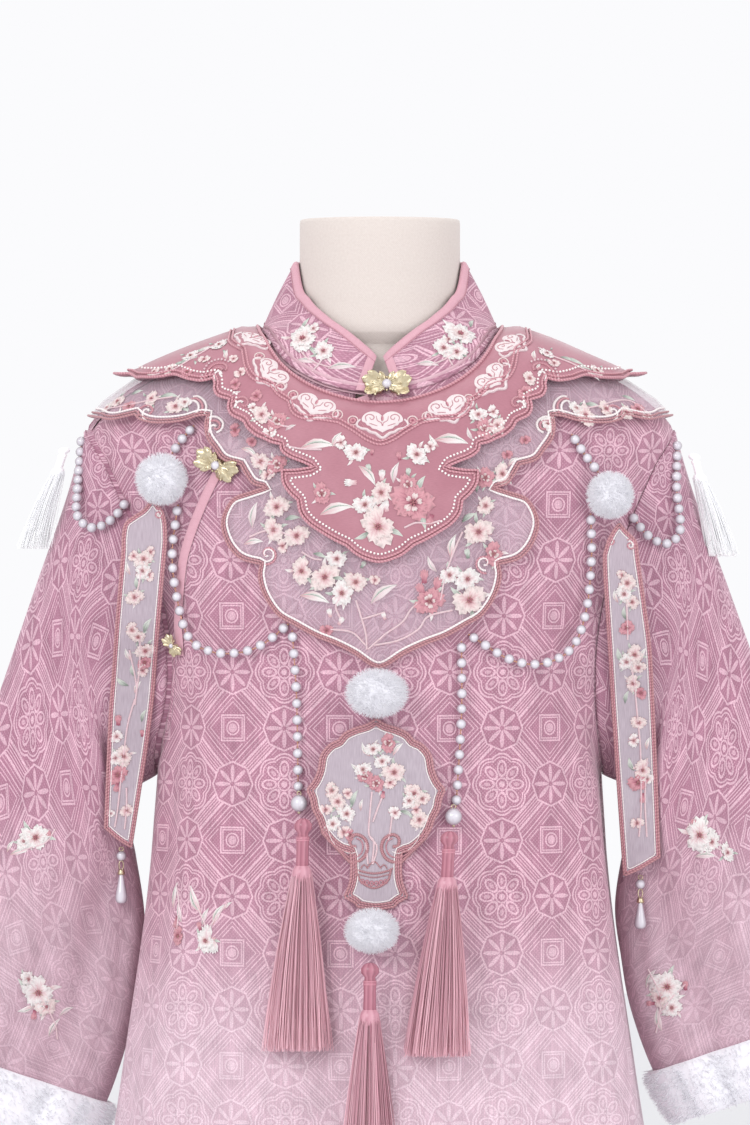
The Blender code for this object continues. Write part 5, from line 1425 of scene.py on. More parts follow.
# a petal from root to tip: share of its length and of its width; then across it: place,
# reach and rise
PETAL_SHARES, PETAL_WIDTHS = np.array(table("0 0.16, 0.3 0.56, 0.62 0.94, 0.86 1, 1 0.66")).T[..., None]
PETAL_ACROSS, PETAL_REACH, PETAL_RISE = np.array(table(
    "-1 0.72 0, -0.62 1 0.9, 0 0.84 0.5, 0.62 1 0.9, 1 0.72 0")).T
LEAF_WIDTHS = np.array([0.08, 0.62, 1.0, 0.86, 0.48, 0.05])
EDGING, HEART, LEAF_SILK, STEM_SILK = 9, 6, 4, 5      # places in SILKS


def way_of(angle):
    return np.array([math.cos(angle), math.sin(angle)])


def add_petal(form, skin, patch, angle, start, length, width, high, finish, edged=False):
    """A petal with a notched tip and a rolled rim, over a wider one of rose edging silk that shows as a dark
    rim: partly an outline, partly painted shadow between petals.
    """
    way, share = way_of(angle), PETAL_SHARES
    # the wider petal beneath, in rose edging silk, is partly an outline and partly painted shadow in the
    # gaps between petals
    for grow, lift, silk, every in ((0.4, 0.0, EDGING, 2), (0.0, 0.12, finish, 1)):
        if silk == EDGING and not edged:
            continue
        reach = start + (length + grow) * share * (1 + (PETAL_REACH[::every] - 1) * share)
        aside = PETAL_ACROSS[::every] * (PETAL_WIDTHS * width / 2 + grow)
        flat = reach[..., None] * way + aside[..., None] * (-way[1], way[0])
        rise = 0.08 + lift + (0.0 if silk == EDGING else high) * PETAL_RISE[::every] * np.sqrt(share)
        form.add(skin.press(patch, flat.reshape(-1, 2), rise.reshape(-1)), grid_faces(*aside.shape),
                 pairs(aside, share), silk)


def add_blossom(form, skin, x, z, size, tilt, finish, facing, rounds=1):
    """Open flower: rounds of petals, threads from its heart, and knots."""
    patch = skin.patch(x, z, facing, tilt)
    if patch is None:
        return
    rounds = max(rounds, 2 if size > 4.6 else 1)
    for layer in range(rounds):
        for k in range(5):
            angle = 2 * math.pi * (k + 0.5 * layer) / 5 + 0.25 * math.sin(x + 3 * k)
            length = size * (1 - 0.3 * layer) * (0.94 + 0.16 * math.sin(k * 2.3 + x))
            silk = finish if layer < 2 or finish != 2 else 1
            add_petal(form, skin, patch, angle, size * 0.08, length, length * 0.94,
                      0.55 + 0.35 * layer + 0.08 * (k % 2), silk, layer < 2)
            if size > 3 and layer == rounds - 1:
                stitch(form, skin, patch, np.outer([0.12, 0.4, 0.62], way_of(angle)) * length,
                       np.array([0.2, 0.15, 0.05]) * (0.6 + 0.08 * size), 0.75 + 0.4 * layer, HEART)
    centre, across, up, normal = patch
    for k in range(6):
        a, b = way_of(2 * math.pi * k / 5) * size * (0.13 if k else 0.0)
        spot = centre + across * a + up * b + normal * (0.75 + 0.4 * (rounds - 1))
        add_ball(form, tuple(spot), size * 0.07, HEART, 3, 5)


def add_leaf(form, skin, x, z, length, tilt, finish, facing, vein=False):
    """A leaf in two bands about its rib; the upper band may have a green vein."""
    patch = skin.patch(x, z, facing, tilt)
    if patch is None:
        return
    share = np.linspace(0, 1, 6)
    curve = np.stack([(share - 0.5) * length, 0.1 * length * np.sin(share * math.pi)], -1)
    widths = LEAF_WIDTHS * length * 0.09
    for way in (-0.8, 0.8):
        stitch(form, skin, patch, curve + np.outer(widths, (0, way)), widths, 0.5, finish, along=True)
    if vein:
        stitch(form, skin, patch, curve + np.outer(widths, (0, 0.55)), widths * 0.5, 0.75, LEAF_SILK)


def add_bud(form, skin, x, z, size, tilt, finish, facing):
    patch = skin.patch(x, z, facing, tilt)
    if patch is None:
        return
    for angle in (1.25, 1.9, 1.57):
        add_petal(form, skin, patch, angle, -size * 0.6, size * 1.3, size * 0.62, 0.6, finish)


def add_stem(form, skin, points, wide, finish, facing=-1, high=0.35):
    """A stem or cord stitched along chart points, each met on the skin by itself."""
    line = smooth_line([chart(*p) for p in points], 1.6)
    path, normals = skin.line(line * (-facing, 1), 0.25, facing)
    if len(path) > 2:
        add_cord(form, path, normals, wide, high, 4, finish, 1.2)


def mirrored(points, middle):
    """Chart points as they are and mirrored about a middle line."""
    return [[(middle + way * (x - middle), y) for x, y in points] for way in (1, -1)]


# kinds: w white blossom, c cream blossom, r coral peony, f coral floret, p cream floret,
# b white bud, g green bud, k coral bud, l white leaf, v green leaf, m leaf of both
KINDS = {"w": 0, "c": 1, "r": 2, "f": 2, "p": 1, "b": 0, "g": 4, "k": 2, "l": 0, "v": 4, "m": 3}


def embroider(form, skin, rows, stems, facing=-1):
    """Works chart rows (kind, x, y, size in squares, tilt) and stems on a skin."""
    for points in stems:
        add_stem(form, skin, points, 0.7, STEM_SILK, facing, 0.6)
    for kind, cx, cy, size, tilt in rows:
        x, z = chart(cx, cy)
        size = size * SQUARE * (1.12 if kind in "wcrfp" else 1)
        if facing > 0:
            x, tilt = -x, -tilt
        if kind in "wcr" and size > 4.5 and facing < 0:
            for k in range(3):
                turn = 1.3 * cx + 2.3 * k
                a, b = way_of(turn) * 0.95 * size
                add_leaf(form, skin, x + a, z + b, size * 0.9, math.degrees(turn),
                         LEAF_SILK if k else 0, facing)
        if kind in "wcrfp":
            add_blossom(form, skin, x, z, size, tilt, KINDS[kind], facing, 3 if kind == "r" else 1)
        elif kind in "bgk":
            add_bud(form, skin, x, z, size, tilt, KINDS[kind], facing)
        else:
            add_leaf(form, skin, x, z, size, tilt, KINDS[kind], facing, kind in "lm")


UPPER_WORK = table("""
    w 356 453 10 10, w 416.5 455 10 40, l 318 447 34 4, l 337 440 18 60, w 341 443 6 0, l 451 442 34 -6,
    l 434 441 16 125, w 430 447 6 30, k 372 453 5 0, k 399 457 7 10, g 369 469 7 20, g 408 473 7 -10,
    l 367 476 26 -50, m 396 473 22 75, b 382 476 9 0, b 351 483 10 90, r 322 494 9 20, c 381 493 10 30,
    r 413 503 19 0, k 430 520 10 160, r 408 485 9 40, l 337 511 34 14, w 365 505 10 15, c 378 527 17 20,
    b 386 507 9 10, c 262 415 9 0, r 277 422 9 30, m 291 428 12 30, w 270 433 6 10, l 312 449 14 8,
    f 256 396 6 0, p 240 372 6 30, f 235 384 6 10, m 236 393 10 20, p 233 358 5 0, w 253 408 5 10,
    p 168 368 7 0, w 189 354 8 10, p 152 370 6 0, v 186 359 22 38, w 218 343 8 20, l 226 353 16 110,
    v 199 349 20 36, l 204 347 20 24, l 220 342 16 115, f 186 371 7 20, v 178 362 14 20, p 203 358 6 0,
    l 158 372 14 12, p 530 378 7 0, f 525 392 7 20, m 526 404 12 60, w 478 415 8 0, r 484 429 9 10,
    c 497 426 8 30, m 470 434 14 110, w 493 412 6 10, p 555 362 6 0, w 548 352 7 20, l 536 354 16 70,
    v 576 360 22 -34, c 598 369 7 0, v 570 358 18 -28, f 584 377 7 10, l 594 374 18 -60, p 600 370 6 0,
    p 614 379 6 0, w 604 378 6 30, l 540 366 12 60, v 585 366 14 -24""")
UPPER_STEMS = tables("""
    404 528, 416 523, 428 524, 440 521; 322 450, 300 449, 286 446; 150 374, 170 369, 192 356, 214 343;
    262 415, 276 424, 292 428; 545 352, 568 360, 590 370, 618 380; 478 416, 486 430, 497 426""")
LOWER_WORK = table("""
    c 115 400 8 0, f 127 405 7 20, c 150 398 8 10, v 167 396 22 4, c 175 406 9 20, w 184 402 7 0,
    v 135 391 14 24, w 104 406 6 0, f 235 430 6 0, f 252 442 5 10, c 261 462 9 0, r 277 465 9 20,
    l 249 452 18 -24, p 268 475 6 0, m 255 515 26 80, c 277 507 11 0, c 274 530 10 30, p 297 536 11 10,
    v 293 519 16 8, l 254 543 20 8, p 283 546 6 0, c 302 571 11 0, c 325 577 13 20, w 337 559 9 10,
    c 356 582 10 0, v 320 556 14 -20, w 342 593 11 20, l 315 599 30 -14, m 384 594 32 36, b 330 613 7 10,
    b 341 621 7 -30, b 384 616 6 20, p 375 580 5 0, g 363 565 6 -30, f 327 630 6 10, k 424 577 11 0,
    r 429 601 13 0, k 437 585 12 -10, k 421 590 11 30, w 449 575 9 10, w 467 579 11 0, c 469 600 15 20,
    r 493 554 10 0, c 478 532 13 10, l 453 546 24 76, g 467 554 8 10, m 432 564 18 120, c 485 506 8 0,
    v 469 518 18 30, w 548 424 7 0, f 525 440 5 0, f 507 455 5 10, l 513 462 14 40, c 502 474 9 0,
    r 485 478 9 20, v 478 487 12 70, c 586 415 11 0, v 594 405 18 -12, p 607 408 8 10, w 577 408 7 20,
    c 628 412 8 0, f 640 408 8 10, v 631 397 16 -24, w 649 414 6 0, p 660 418 6 30""")
LOWER_STEMS = tables("""
    367 649, 366 634, 362 619, 356 600; 366 645, 352 632, 331 629; 362 619, 375 615, 385 612; 368 649,
    385 634, 402 622, 410 610, 417 603; 374 645, 398 640, 418 629, 428 616, 452 610; 341 619, 336 606,
    342 596; 250 537, 262 532, 274 530, 290 536, 300 545; 302 552, 312 558, 322 560; 249 452, 262 463,
    276 466, 268 478; 440 600, 446 572, 455 548, 462 532; 104 407, 125 404, 150 399, 172 396; 577 410,
    600 405, 630 399, 655 416""")
RING_WORK = table("""
    280 387, 293 395, 337.6 415, 353 421, 412.5 421, 427 417, 469 399, 482 391, 259 355, 504 361""")
CLOUD_HEADS = table("""
    250 337 -66, 268.7 373 -46, 314.4 408 -20, 382.4 425 0, 449.5 410 20, 494.5 379 44, 514 342 64""")
# A cloud head, in squares from its middle: its filled body, left half, and its bands, each
# with half width, silk, height and lift before its points
CLOUD_BODY = table("""
    0 9.5, -3.5 13, -8 15, -13 14.5, -18 11.5, -20.5 7, -20 3.5, -17 2, -15.5 -0.5, -12.5 -1.5, -10 -4.2,
    -6 -5.2, 0 -8.5""")
CLOUD_BODY += [(-x, y) for x, y in CLOUD_BODY[-2::-1]]
CLOUD_BANDS = tables("""
    1.7 3 0.8 0, -22 6, -25 3, -25.5 -1, -21 -4, -16 -5, -12 -8, -7 -9.4, 0 -14.5, 7 -9.4, 12 -8, 16 -5,
    21 -4, 25.5 -1, 25 3, 22 6; 0.55 8 0.5 0, -21 2, -18 -2.6, -13.5 -4, -11 -6.4, -6.5 -7.4, 0 -11.4,
    6.5 -7.4, 11 -6.4, 13.5 -4, 18 -2.6, 21 2; 0.6 8 0.5 0.85, -16 3.5, -17 8, -13.5 11, -9 9.5, -8.5 6,
    -11.5 5, -12.5 7.4; 0.6 8 0.5 0.85, 16 3.5, 17 8, 13.5 11, 9 9.5, 8.5 6, 11.5 5, 12.5 7.4;
    0.5 8 0.5 0.85, -6 9, -5 4, -1 1.5, 0 -2.5, 1 1.5, 5 4, 6 9; 1.4 2 0.6 0.85, 0 9, 0 5.5, 0 3.5;
    0.5 8 0.5 0.85, -13 1, -9 -0.5, -5 -2; 0.5 8 0.5 0.85, 13 1, 9 -0.5, 5 -2""")


def add_cloud_head(form, skin, x, z, tilt, facing):
    """A cloud in satin stitch, rounded towards its edge, with its bands."""
    patch = skin.patch(x, z, facing, tilt)
    if patch is None:
        return
    outline = smooth_line(CLOUD_BODY, 1.3, [12])[:-1] * SQUARE
    plan, faces = fill_plan(outline, None, 1.5)
    laid = skin.press(patch, plan, 0.1 + 0.8 * np.sqrt(np.clip(edge_distance(plan, outline) / 1.2, 0, 1)))
    if face_normals(laid, faces)[0] @ patch[3] < 0:
        faces = faces[:, ::-1]
    form.add(laid, faces, pairs(plan[:, 0], 0.8), 3)
    for (half, silk, high, over), *points in CLOUD_BANDS:
        path = smooth_line(np.array(points) * SQUARE, 1.1)
        widths = half * SQUARE * (0.55 + 0.45 * np.sin(math.pi * np.linspace(0, 1, len(path))) ** 0.6)
        stitch(form, skin, patch, path, widths, high, silk, over=over)


def add_floret(form, skin, x, z, size):
    """A small round of cream thread with a coral floret in it."""
    patch = skin.patch(x, z)
    turn = np.linspace(0, 2 * math.pi, 13)
    stitch(form, skin, patch, np.stack([np.cos(turn), np.sin(turn)], -1) * size, np.full(13, 0.5), 0.55, 1)
    for k in range(5):
        add_petal(form, skin, patch, k * 1.2566, 0.1, size * 0.62, size * 0.6, 0.55, 2)


def add_curl(form, skin, cx, cy, radius, start, rounds, hand, finish, wide=0.7):
    """A cord that winds into a scroll, from its outer end at an angle in degrees."""
    share = np.linspace(0, 1, round(26 * rounds))
    reach = radius * SQUARE * (1 - 0.78 * share)
    turn = math.radians(start) + hand * 2 * math.pi * rounds * share
    path = np.stack([reach * np.cos(turn), reach * np.sin(turn)], -1) + chart(cx, cy)
    path, normals = skin.line(path, 0.3)
    if len(path) > 4:
        add_cord(form, path, normals, wide, 0.6, 5, finish)


# Scrolls of cord on the left half: silk, then chart points; the right half mirrors them
UPPER_SCROLLS = tables("""
    8, 203 384, 204.5 376, 207.5 369, 213 364, 219 362.5, 224 363.5, 226.5 367, 224.5 370; 8, 207.5 385,
    208 377, 210.5 371.5, 215 367.8, 219.5 367, 222.5 369.5; 7, 214.5 381, 213.5 375.5, 215.5 371.5,
    219 370.5, 221 373, 219 375; 8, 232.5 403, 236 399, 242 397, 247 399.5, 248 404, 244.5 406.5,
    241.5 404.5; 7, 234.5 408, 236 403.5, 240 401, 243 402.5""")
UPPER_SCROLL_BEADS = table("""
    201 378.5, 202.3 372, 205.3 366, 210 361.5, 216 359.2, 222 359, 228 361""")
LOWER_SCROLLS = tables("""
    7, 150 421.5, 144 419.5, 141.3 415, 142.3 410, 146 408, 148.2 410.8; 8, 137 416, 137.3 410, 141 406,
    146 404.5, 150.5 406.5, 151.3 410.5, 148 413; 7, 190 420.5, 195 414, 198.3 407.5, 196.5 402, 192 400,
    189.3 402.5; 8, 192.5 421.5, 199 414.5, 202.2 407, 200 401, 195 397.8, 190.5 398.8; 7, 195 422,
    203 415.5, 206 407, 203.3 400, 197.5 395.8, 192.5 396.2; 8, 206.5 431, 207.5 424, 212 420.5,
    217.5 421.3, 220 425.3, 217.8 429.3, 214.3 428.3; 7, 208.5 435, 209.5 428, 213 424.8, 216.2 426.3; 7,
    205 419.5, 212 416.5, 218.5 417.8, 223 423, 221.3 429.5, 216.5 432.5""")
LOWER_CURLS = [(268, 554, 7.6, -100, 1.1, 1), (484, 563, 7.6, -80, 1.1, -1)]


def add_scrolls(form, skin, scrolls):
    for (silk,), *points in scrolls:
        for route in mirrored(points, CHART_X):
            add_stem(form, skin, route, 0.9, silk, high=0.8)


def build_upper_work(skin):
    form = Form()
    embroider(form, skin, UPPER_WORK, UPPER_STEMS)
    add_scrolls(form, skin, UPPER_SCROLLS)
    for pair in zip(*mirrored(smooth_line(UPPER_SCROLL_BEADS, 3.6), CHART_X)):
        for centre, normal in zip(*skin.line([chart(*p) for p in pair], 0.5)):
            add_ball(form, centre, 0.9, 3, 4, 6, normal)
    for place in RING_WORK:
        add_floret(form, skin, *chart(*place), 3.4)
    for cx, cy, tilt in CLOUD_HEADS:
        x, z = chart(cx, cy)
        add_cloud_head(form, skin, x, z, tilt, -1)
        ridge = float(ridge_z(x))
        add_cloud_head(form, skin, x, ridge - (ridge - z) * 0.62, -tilt, 1)
    embroider(form, skin, [row for row in UPPER_WORK if row[2] > 400 or abs(row[1] - CHART_X) > 170],
              UPPER_STEMS[:3], 1)
    form.make("cloud_upper_silks", SILKS)


def build_lower_work(skin):
    form = Form()
    embroider(form, skin, LOWER_WORK, LOWER_STEMS)
    embroider(form, skin, LOWER_WORK, LOWER_STEMS, 1)
    add_scrolls(form, skin, LOWER_SCROLLS)
    for cx, cy, radius, start, rounds, hand in LOWER_CURLS:
        add_curl(form, skin, cx, cy, radius, start, rounds, hand, 7)
        add_curl(form, skin, cx, cy, radius + 3, start, rounds * 0.85, hand, 8)
    form.make("cloud_lower_silks", SILKS)


# ---------------- ribbons and pendant
RIBBON_LEFT = table("""
    -150.5 1264.5 1, -147 1259, -143.5 1254, -141.5 1248, -140.8 1238, -141.5 1225, -148 1156,
    -152.5 1112, -165.3 1028.9 1, -174.5 1034.5, -184.1 1042.7 1, -181 1112, -177.5 1156, -171.5 1222,
    -171 1236, -169 1246, -163 1251, -156 1256""")
RIBBON_RIGHT = table("""
    158.4 1247.3 1, 163.5 1241, 170 1234, 171.8 1222, 176.5 1190, 180.8 1155.6, 184.5 1090, 187.4 1023 1,
    174 1015, 162.4 1009.7 1, 156.5 1090, 151.8 1155.6, 147.6 1216, 148.5 1229, 153 1240""")
PENDANT_HALF = table("""
    0 1118.6 1, 6 1114.5, 14 1112, 21 1108.6, 25 1104 1, 31 1101, 36.5 1094, 38.5 1084, 41.5 1077,
    46.3 1071.1 1, 43.5 1065, 42 1058, 38.5 1051, 36 1044, 31 1037, 24 1031.5, 17.5 1029.5 1, 17 1018,
    18 1010, 21.8 1000.5 1, 15 997, 12.5 994 1, 5 992.6, 0 992.2""")
PENDANT_X = -2.6


def flat_outline(rows, step=1.6):
    """Closed outline in the front plane; a third number marks a sharp corner."""
    rows = rows + rows[:1]
    corners = [i for i, row in enumerate(rows) if len(row) == 3]
    return smooth_line([row[:2] for row in rows], step, corners)[:-1]


def pendant_outline():
    right, left = ([(PENDANT_X + way * x, *more) for x, *more in PENDANT_HALF] for way in (1, -1))
    return flat_outline(right + left[-2:0:-1])


RIBBON_CORDS = table("""
    0.8 0.85 0.75 3, 2.2 0.6 0.6 1, 3.5 0.4 0.5 2""")
PENDANT_CORDS = table("""
    0.9 0.95 0.8 3, 2.5 0.5 0.6 1, 3.9 0.75 0.6 3, 5.3 0.4 0.5 2""")
RIBBON_LEFT_WORK = table("""
    c 143 559 8 0, w 142 571 8 20, c 150 552 5 0, p 133 556 5 0, p 148 575 6 10, l 128 568 14 105,
    v 137 583 14 100, c 134 597 8 0, p 131 630 7 0, c 137 637 7 20, v 147 626 18 66, c 144 651 9 0,
    f 143 663 7 20, p 141 671 6 0, l 127 655 16 110, v 132 671 16 98, v 120 682 16 145, l 136 688 14 60,
    k 116 722 9 0, w 114 738 6 0, c 121 758 9 0, w 113 760 6 10, f 115 777 9 20, k 114 789 8 170,
    v 142 717 14 70, p 124 813 6 0, w 108 816 4 0, k 140 735 6 0""")
RIBBON_LEFT_STEMS = tables("""
    141 571, 137 590, 133 604; 139 640, 138 668, 135 690, 133 706; 133 700, 126 724, 122 750, 118 785;
    118 785, 115 812, 112 830; 124 790, 124 812, 122 832; 128 650, 133 676, 135 690""")
RIBBON_RIGHT_WORK = table("""
    c 628 583 8 0, w 625 594 8 20, c 633 602 7 0, l 617 596 14 105, p 623 575 5 0, v 626 613 14 95,
    f 628 628 7 0, c 636 655 9 0, w 628 662 8 20, p 640 668 7 0, v 622 656 18 110, l 645 655 16 70,
    c 635 684 8 0, f 643 694 6 10, v 629 698 14 75, p 641 724 7 0, w 636 742 6 0, c 645 772 9 0,
    f 641 785 9 20, w 650 781 6 0, k 646 800 8 170, v 634 766 15 110, p 640 826 6 0, l 651 745 14 75""")
RIBBON_RIGHT_STEMS = tables("""
    627 590, 628 610, 629 640; 632 660, 637 690, 640 720; 640 720, 643 750, 644 790; 644 790, 644 815,
    642 840; 650 760, 648 800, 650 840""")
PENDANT_WORK = table("""
    r 388 742 8 0, l 366 748 16 120, l 398 748 16 50, w 373 748 7 0, w 382 760 7 10, c 394 771 10 20,
    l 356 765 12 150, w 363 768 7 0, r 365 775 7 0, r 376 782 8 10, k 383 793 6 170, p 390 781 6 0,
    c 338 800 8 0, p 332 789 7 20, g 334 787 5 0, w 347 812 8 10, w 333 822 7 0, l 328 826 16 60,
    v 355 797 18 70, p 326 808 6 0, p 344 830 6 20, p 348 792 5 0, f 350 833 5 0, l 362 803 12 80,
    c 414 792 9 0, w 409 799 7 20, p 422 797 7 10, c 419 818 8 0, w 395 811 6 0, v 406 812 14 -24,
    p 416 808 6 0""")
PENDANT_STEMS = tables("""
    372 790, 370 812, 369 832, 374 840, 372 862; 382 796, 378 806, 373 820; 392 814, 390 830, 388 838;
    368 862, 366 840; 370 835, 377 845, 373 862""")
# The hooked scrolls of the pendant: half width and silk, then chart points
PENDANT_HOOKS = tables("""
    1.15 9, 322 826, 325 841, 334.8 854, 350 860, 362 857, 367.5 847, 365 837, 357 832.5, 350.5 836,
    351 843.5, 356.5 844.5; 0.5 8, 325.5 827, 329 840, 337.5 850.5, 350 855.5, 359.5 853, 363 846,
    361.5 839, 356.5 836.2; 0.4 7, 328.5 828, 332 838, 339.5 846.5, 350 851, 357 849.5""")
PENDANT_MIDDLE = 374.5
# curls of cord: chart place, radius, start, rounds, hand, silk and half width
RIBBON_LEFT_CURLS = [(133, 516, 6, 60, 1.1, 1, 8, 0.6), (158, 514, 6, 120, 1.2, -1, 8, 0.6),
                     (158, 514, 4, 120, 1.0, -1, 7, 0.4)]
RIBBON_RIGHT_CURLS = [(612, 541, 6, 60, 1.1, 1, 8, 0.6), (631, 545, 6, 120, 1.2, -1, 8, 0.6),
                      (631, 545, 4, 120, 1.0, -1, 7, 0.4)]
# The filigree basket at the pendant's foot: half width, then chart points
BASKET = tables("""
    0.75, 357 868, 361 879, 374 885.5, 387 879, 391 868; 0.7, 355 866, 362 869, 374 871, 386 869, 393 866;
    0.4, 359 872, 374 875, 389 872; 0.45, 361 866, 364 862, 368 866; 0.5, 367 866, 374 859, 381 866; 0.45,
    380 866, 384 862, 387 866""")


def build_pendant_trim(skin):
    """Hooked scrolls of cord, and the basket that the pendant's flowers grow from."""
    form = Form()
    for (wide, silk), *points in PENDANT_HOOKS:
        for route in mirrored(points, PENDANT_MIDDLE):
            add_stem(form, skin, route, wide, silk, high=0.9)
    for (wide,), *points in BASKET:
        add_stem(form, skin, points, wide, EDGING, high=0.7)
    turn = np.linspace(0, 2 * math.pi, 11)
    ring = np.stack([np.cos(turn) * 1.2, np.sin(turn) * 1.5], -1)
    for k in range(6):
        patch = skin.patch(*chart(362.5 + k * 4.6, 879 + (2.5 - abs(k - 2.5)) * 0.9))
        if patch is not None:
            stitch(form, skin, patch, ring, np.full(11, 0.4), 0.7, 2)
            add_ball(form, tuple(patch[0] + patch[3] * 0.5), 0.5, HEART, 3, 5)
    form.make("pendant_trim", SILKS)


# piece, its solid, outline, cords, work, stems, curls and ripple
HANGINGS = [
    ("ribbon_panel_left", "ribbon_left", flat_outline(RIBBON_LEFT), RIBBON_CORDS, RIBBON_LEFT_WORK,
     RIBBON_LEFT_STEMS, RIBBON_LEFT_CURLS, 0.5),
    ("ribbon_panel_right", "ribbon_right", flat_outline(RIBBON_RIGHT), RIBBON_CORDS, RIBBON_RIGHT_WORK,
     RIBBON_RIGHT_STEMS, RIBBON_RIGHT_CURLS, 0.5),
    ("pendant_panel", "pendant", pendant_outline(), PENDANT_CORDS, PENDANT_WORK, PENDANT_STEMS, [], 0.3)]


def build_hanging(name, solid, outline, cords, work, stems, curls, ripple):
    """A sheer panel on its solid's form, its corded edge, scrolls and flowers."""
    heights = np.linspace(outline[:, 1].min() + 1, outline[:, 1].max() - 1, 24)
    middles = [outline[np.abs(outline[:, 1] - z) < 12, 0].mean() for z in heights]
    depths = depths_on(solid_skin(solid), list(zip(middles, heights)))

    def lay(plan, over):
        y = np.interp(plan[:, 1], heights, depths) - over
        y = y - ripple * (0.5 + 0.5 * np.sin(plan[:, 1] / 23 + plan[:, 0] / 9))
        return np.stack([plan[:, 0], y, plan[:, 1]], -1)

    form = Form()
    plan, faces = fill_plan(outline, None, 3.2)
    back = lay(plan, -1.0)
    if face_normals(back, faces)[0, 1] > 0:
        faces = faces[:, ::-1]
    add_wall(form, back, np.array([(0, -1, 0)]), faces, 0.3, 1.0, plan)
    skin = Skin(form.tree(1))
    for gap, wide, high, finish in cords:
        path = lay(inset(outline, gap), high * 0.5)
        add_cord(form, path, (0, -1, 0), wide, high, finish=finish, closed=True)
    work_form = Form()
    embroider(work_form, skin, work, stems)
    for curl in curls:
        add_curl(work_form, skin, *curl)
    if name == "pendant_panel":
        build_pendant_trim(skin)
    form.make(name, [ORGANZA_THICK, CORD, WHITE_CORD, ROSE_CORD], [solid], "organza_lilac")
    work_form.make(name + "_silks", SILKS)


# ---------------- clasps
# half length and tilt of each; its leaves: angle, length and half width; sections along a
# leaf: share and swell; and across it: place and lift; grains beside the leaves
CLASPS = {"clasp_collar": (18.0, 0.0), "clasp_placket": (17.0, -27.0), "clasp_side": (9.0, -55.0)}
CLASP_LEAVES = table("20 0.97 0.2, 46 1 0.2, 70 0.74 0.16, -4 0.8 0.17, -30 0.94 0.19, -56 0.8 0.16")
LEAF_ALONG = table("0.16 0.3, 0.34 0.7, 0.55 0.95, 0.75 1.05, 0.92 0.75, 1 0.2")
LEAF_ACROSS = table("-1 0.1, -0.55 1.3, 0 0.95, 0.55 1.3, 1 0.1")
CLASP_GRAINS = table("0.3 0.22, 0.3 -0.24, 0.52 0.04")


def build_clasp(name):
    """Cast leaves in two fans about a beaded ring that holds a pearl."""
    half, tilt = CLASPS[name]
    low, high = box_of(name)
    base, centre, turn, form = solid_skin(name), (low + high) / 2, math.radians(tilt), Form()

    def spot(place, over):
        a, b = place
        x = centre[0] + a * math.cos(turn) - b * math.sin(turn)
        z = centre[2] + a * math.sin(turn) + b * math.cos(turn)
        met = base.at(x, z)
        y = met[0].y + 1.6 if met else high[1] - 1.4
        return np.array([x, min(y, high[1] - 0.8) - over, z])

    for side in (1, -1):
        for angle, long, wide in CLASP_LEAVES:
            way = way_of(math.radians(angle)) * (side, 0.62)
            across = np.array([-way[1], way[0]])
            rows = [[spot(way * half * long * share + across * k * half * wide * swell,
                          lift * 0.9 + 0.5 * math.sin(share * 3.1)) for k, lift in LEAF_ACROSS]
                    for share, swell in LEAF_ALONG]
            form.add(rows, grid_faces(6, 5))
            add_ball(form, spot(way * half * long * 0.97, 0.6), half * 0.055, 0, 4, 6)
        for a, b in CLASP_GRAINS:
            add_ball(form, spot((side * half * a, half * b), 1.3), half * 0.06, 0, 4, 6)
    for k in range(12):
        add_ball(form, spot(way_of(2 * math.pi * k / 12) * half * 0.24, 1.0), half * 0.052, 0, 5, 7)
    add_ball(form, spot((0, 0), 1.4), half * 0.185, 1, 9, 14, (0, 1, 0), 0.8)
    form.make(name + "_leaves", [GOLD, PEARL], [name], "gold")


# ---------------- flowers on the robe itself
COLLAR_WORK = table("""
    w 302 337 15 10, w 323 350 10 30, c 302 337 8 40, m 342 367 28 4, m 306 361 22 -8, w 313 327 6 0,
    w 461 332 15 -10, w 444 347 10 20, c 461 332 8 10, w 457 351 10 0, m 428 364 22 -4, w 449 338 6 0""")
COLLAR_STEMS = tables("""
    323 357, 318 364, 312 371; 300 350, 310 360, 330 367; 445.5 351, 449 358, 453 365; 460 348, 446 358,
    432 364""")
ROBE_WORK = table("""
    w 32 841 14 10, w 20 845 8 30, l 14 857 18 10, k 44 838 8 -60, l 6 850 14 60, w 34 998 16 10,
    c 42 1012 10 30, m 50 1034 22 60, l 22 1013 20 200, k 30 1020 8 170, m 62 1018 18 30, w 24 984 8 0,
    l 175 896 26 84, m 180 912 22 110, k 176 922 10 170, f 178 936 8 0, l 196 899 30 118, m 206 916 18 70,
    l 219 914 24 60, l 228 905 12 40, b 208 934 15 10, b 214 944 13 190, w 206 940 10 0, k 200 926 7 20,
    w 703 838 15 10, w 715 845 9 30, m 709 860 22 0, w 731 856 8 20, l 694 831 14 30, k 697 826 7 0,
    w 671 993 15 10, c 664 1004 10 30, m 655 985 22 60, l 682 1006 18 30, m 664 1026 24 100,
    w 676 1014 9 0, k 690 992 8 0, k 655 1010 7 90""")
ROBE_STEMS = tables("""
    10 858, 24 852, 42 846, 52 832; 24 985, 38 1006, 50 1028, 53 1046; 176 885, 179 905, 177 930; 190 886,
    197 905, 206 926, 208 938; 228 902, 217 916, 208 930; 692 826, 706 844, 722 852, 736 858; 652 975,
    664 1000, 664 1020, 660 1040; 690 990, 676 1004, 664 1020""")


def build_robe_work(name, skin, work, stems):
    """Flowers worked straight on the robe, in front and again behind."""
    form = Form()
    for facing in (-1, 1):
        embroider(form, skin, work, stems, facing)
    form.make(name, SILKS)


SHOULDER_TOP = 1352.0     # how far up the seam allowance under the shoulder seam runs
SHOULDER_TURN = 20.0      # height in which the armhole seam bends to the shoulder slope
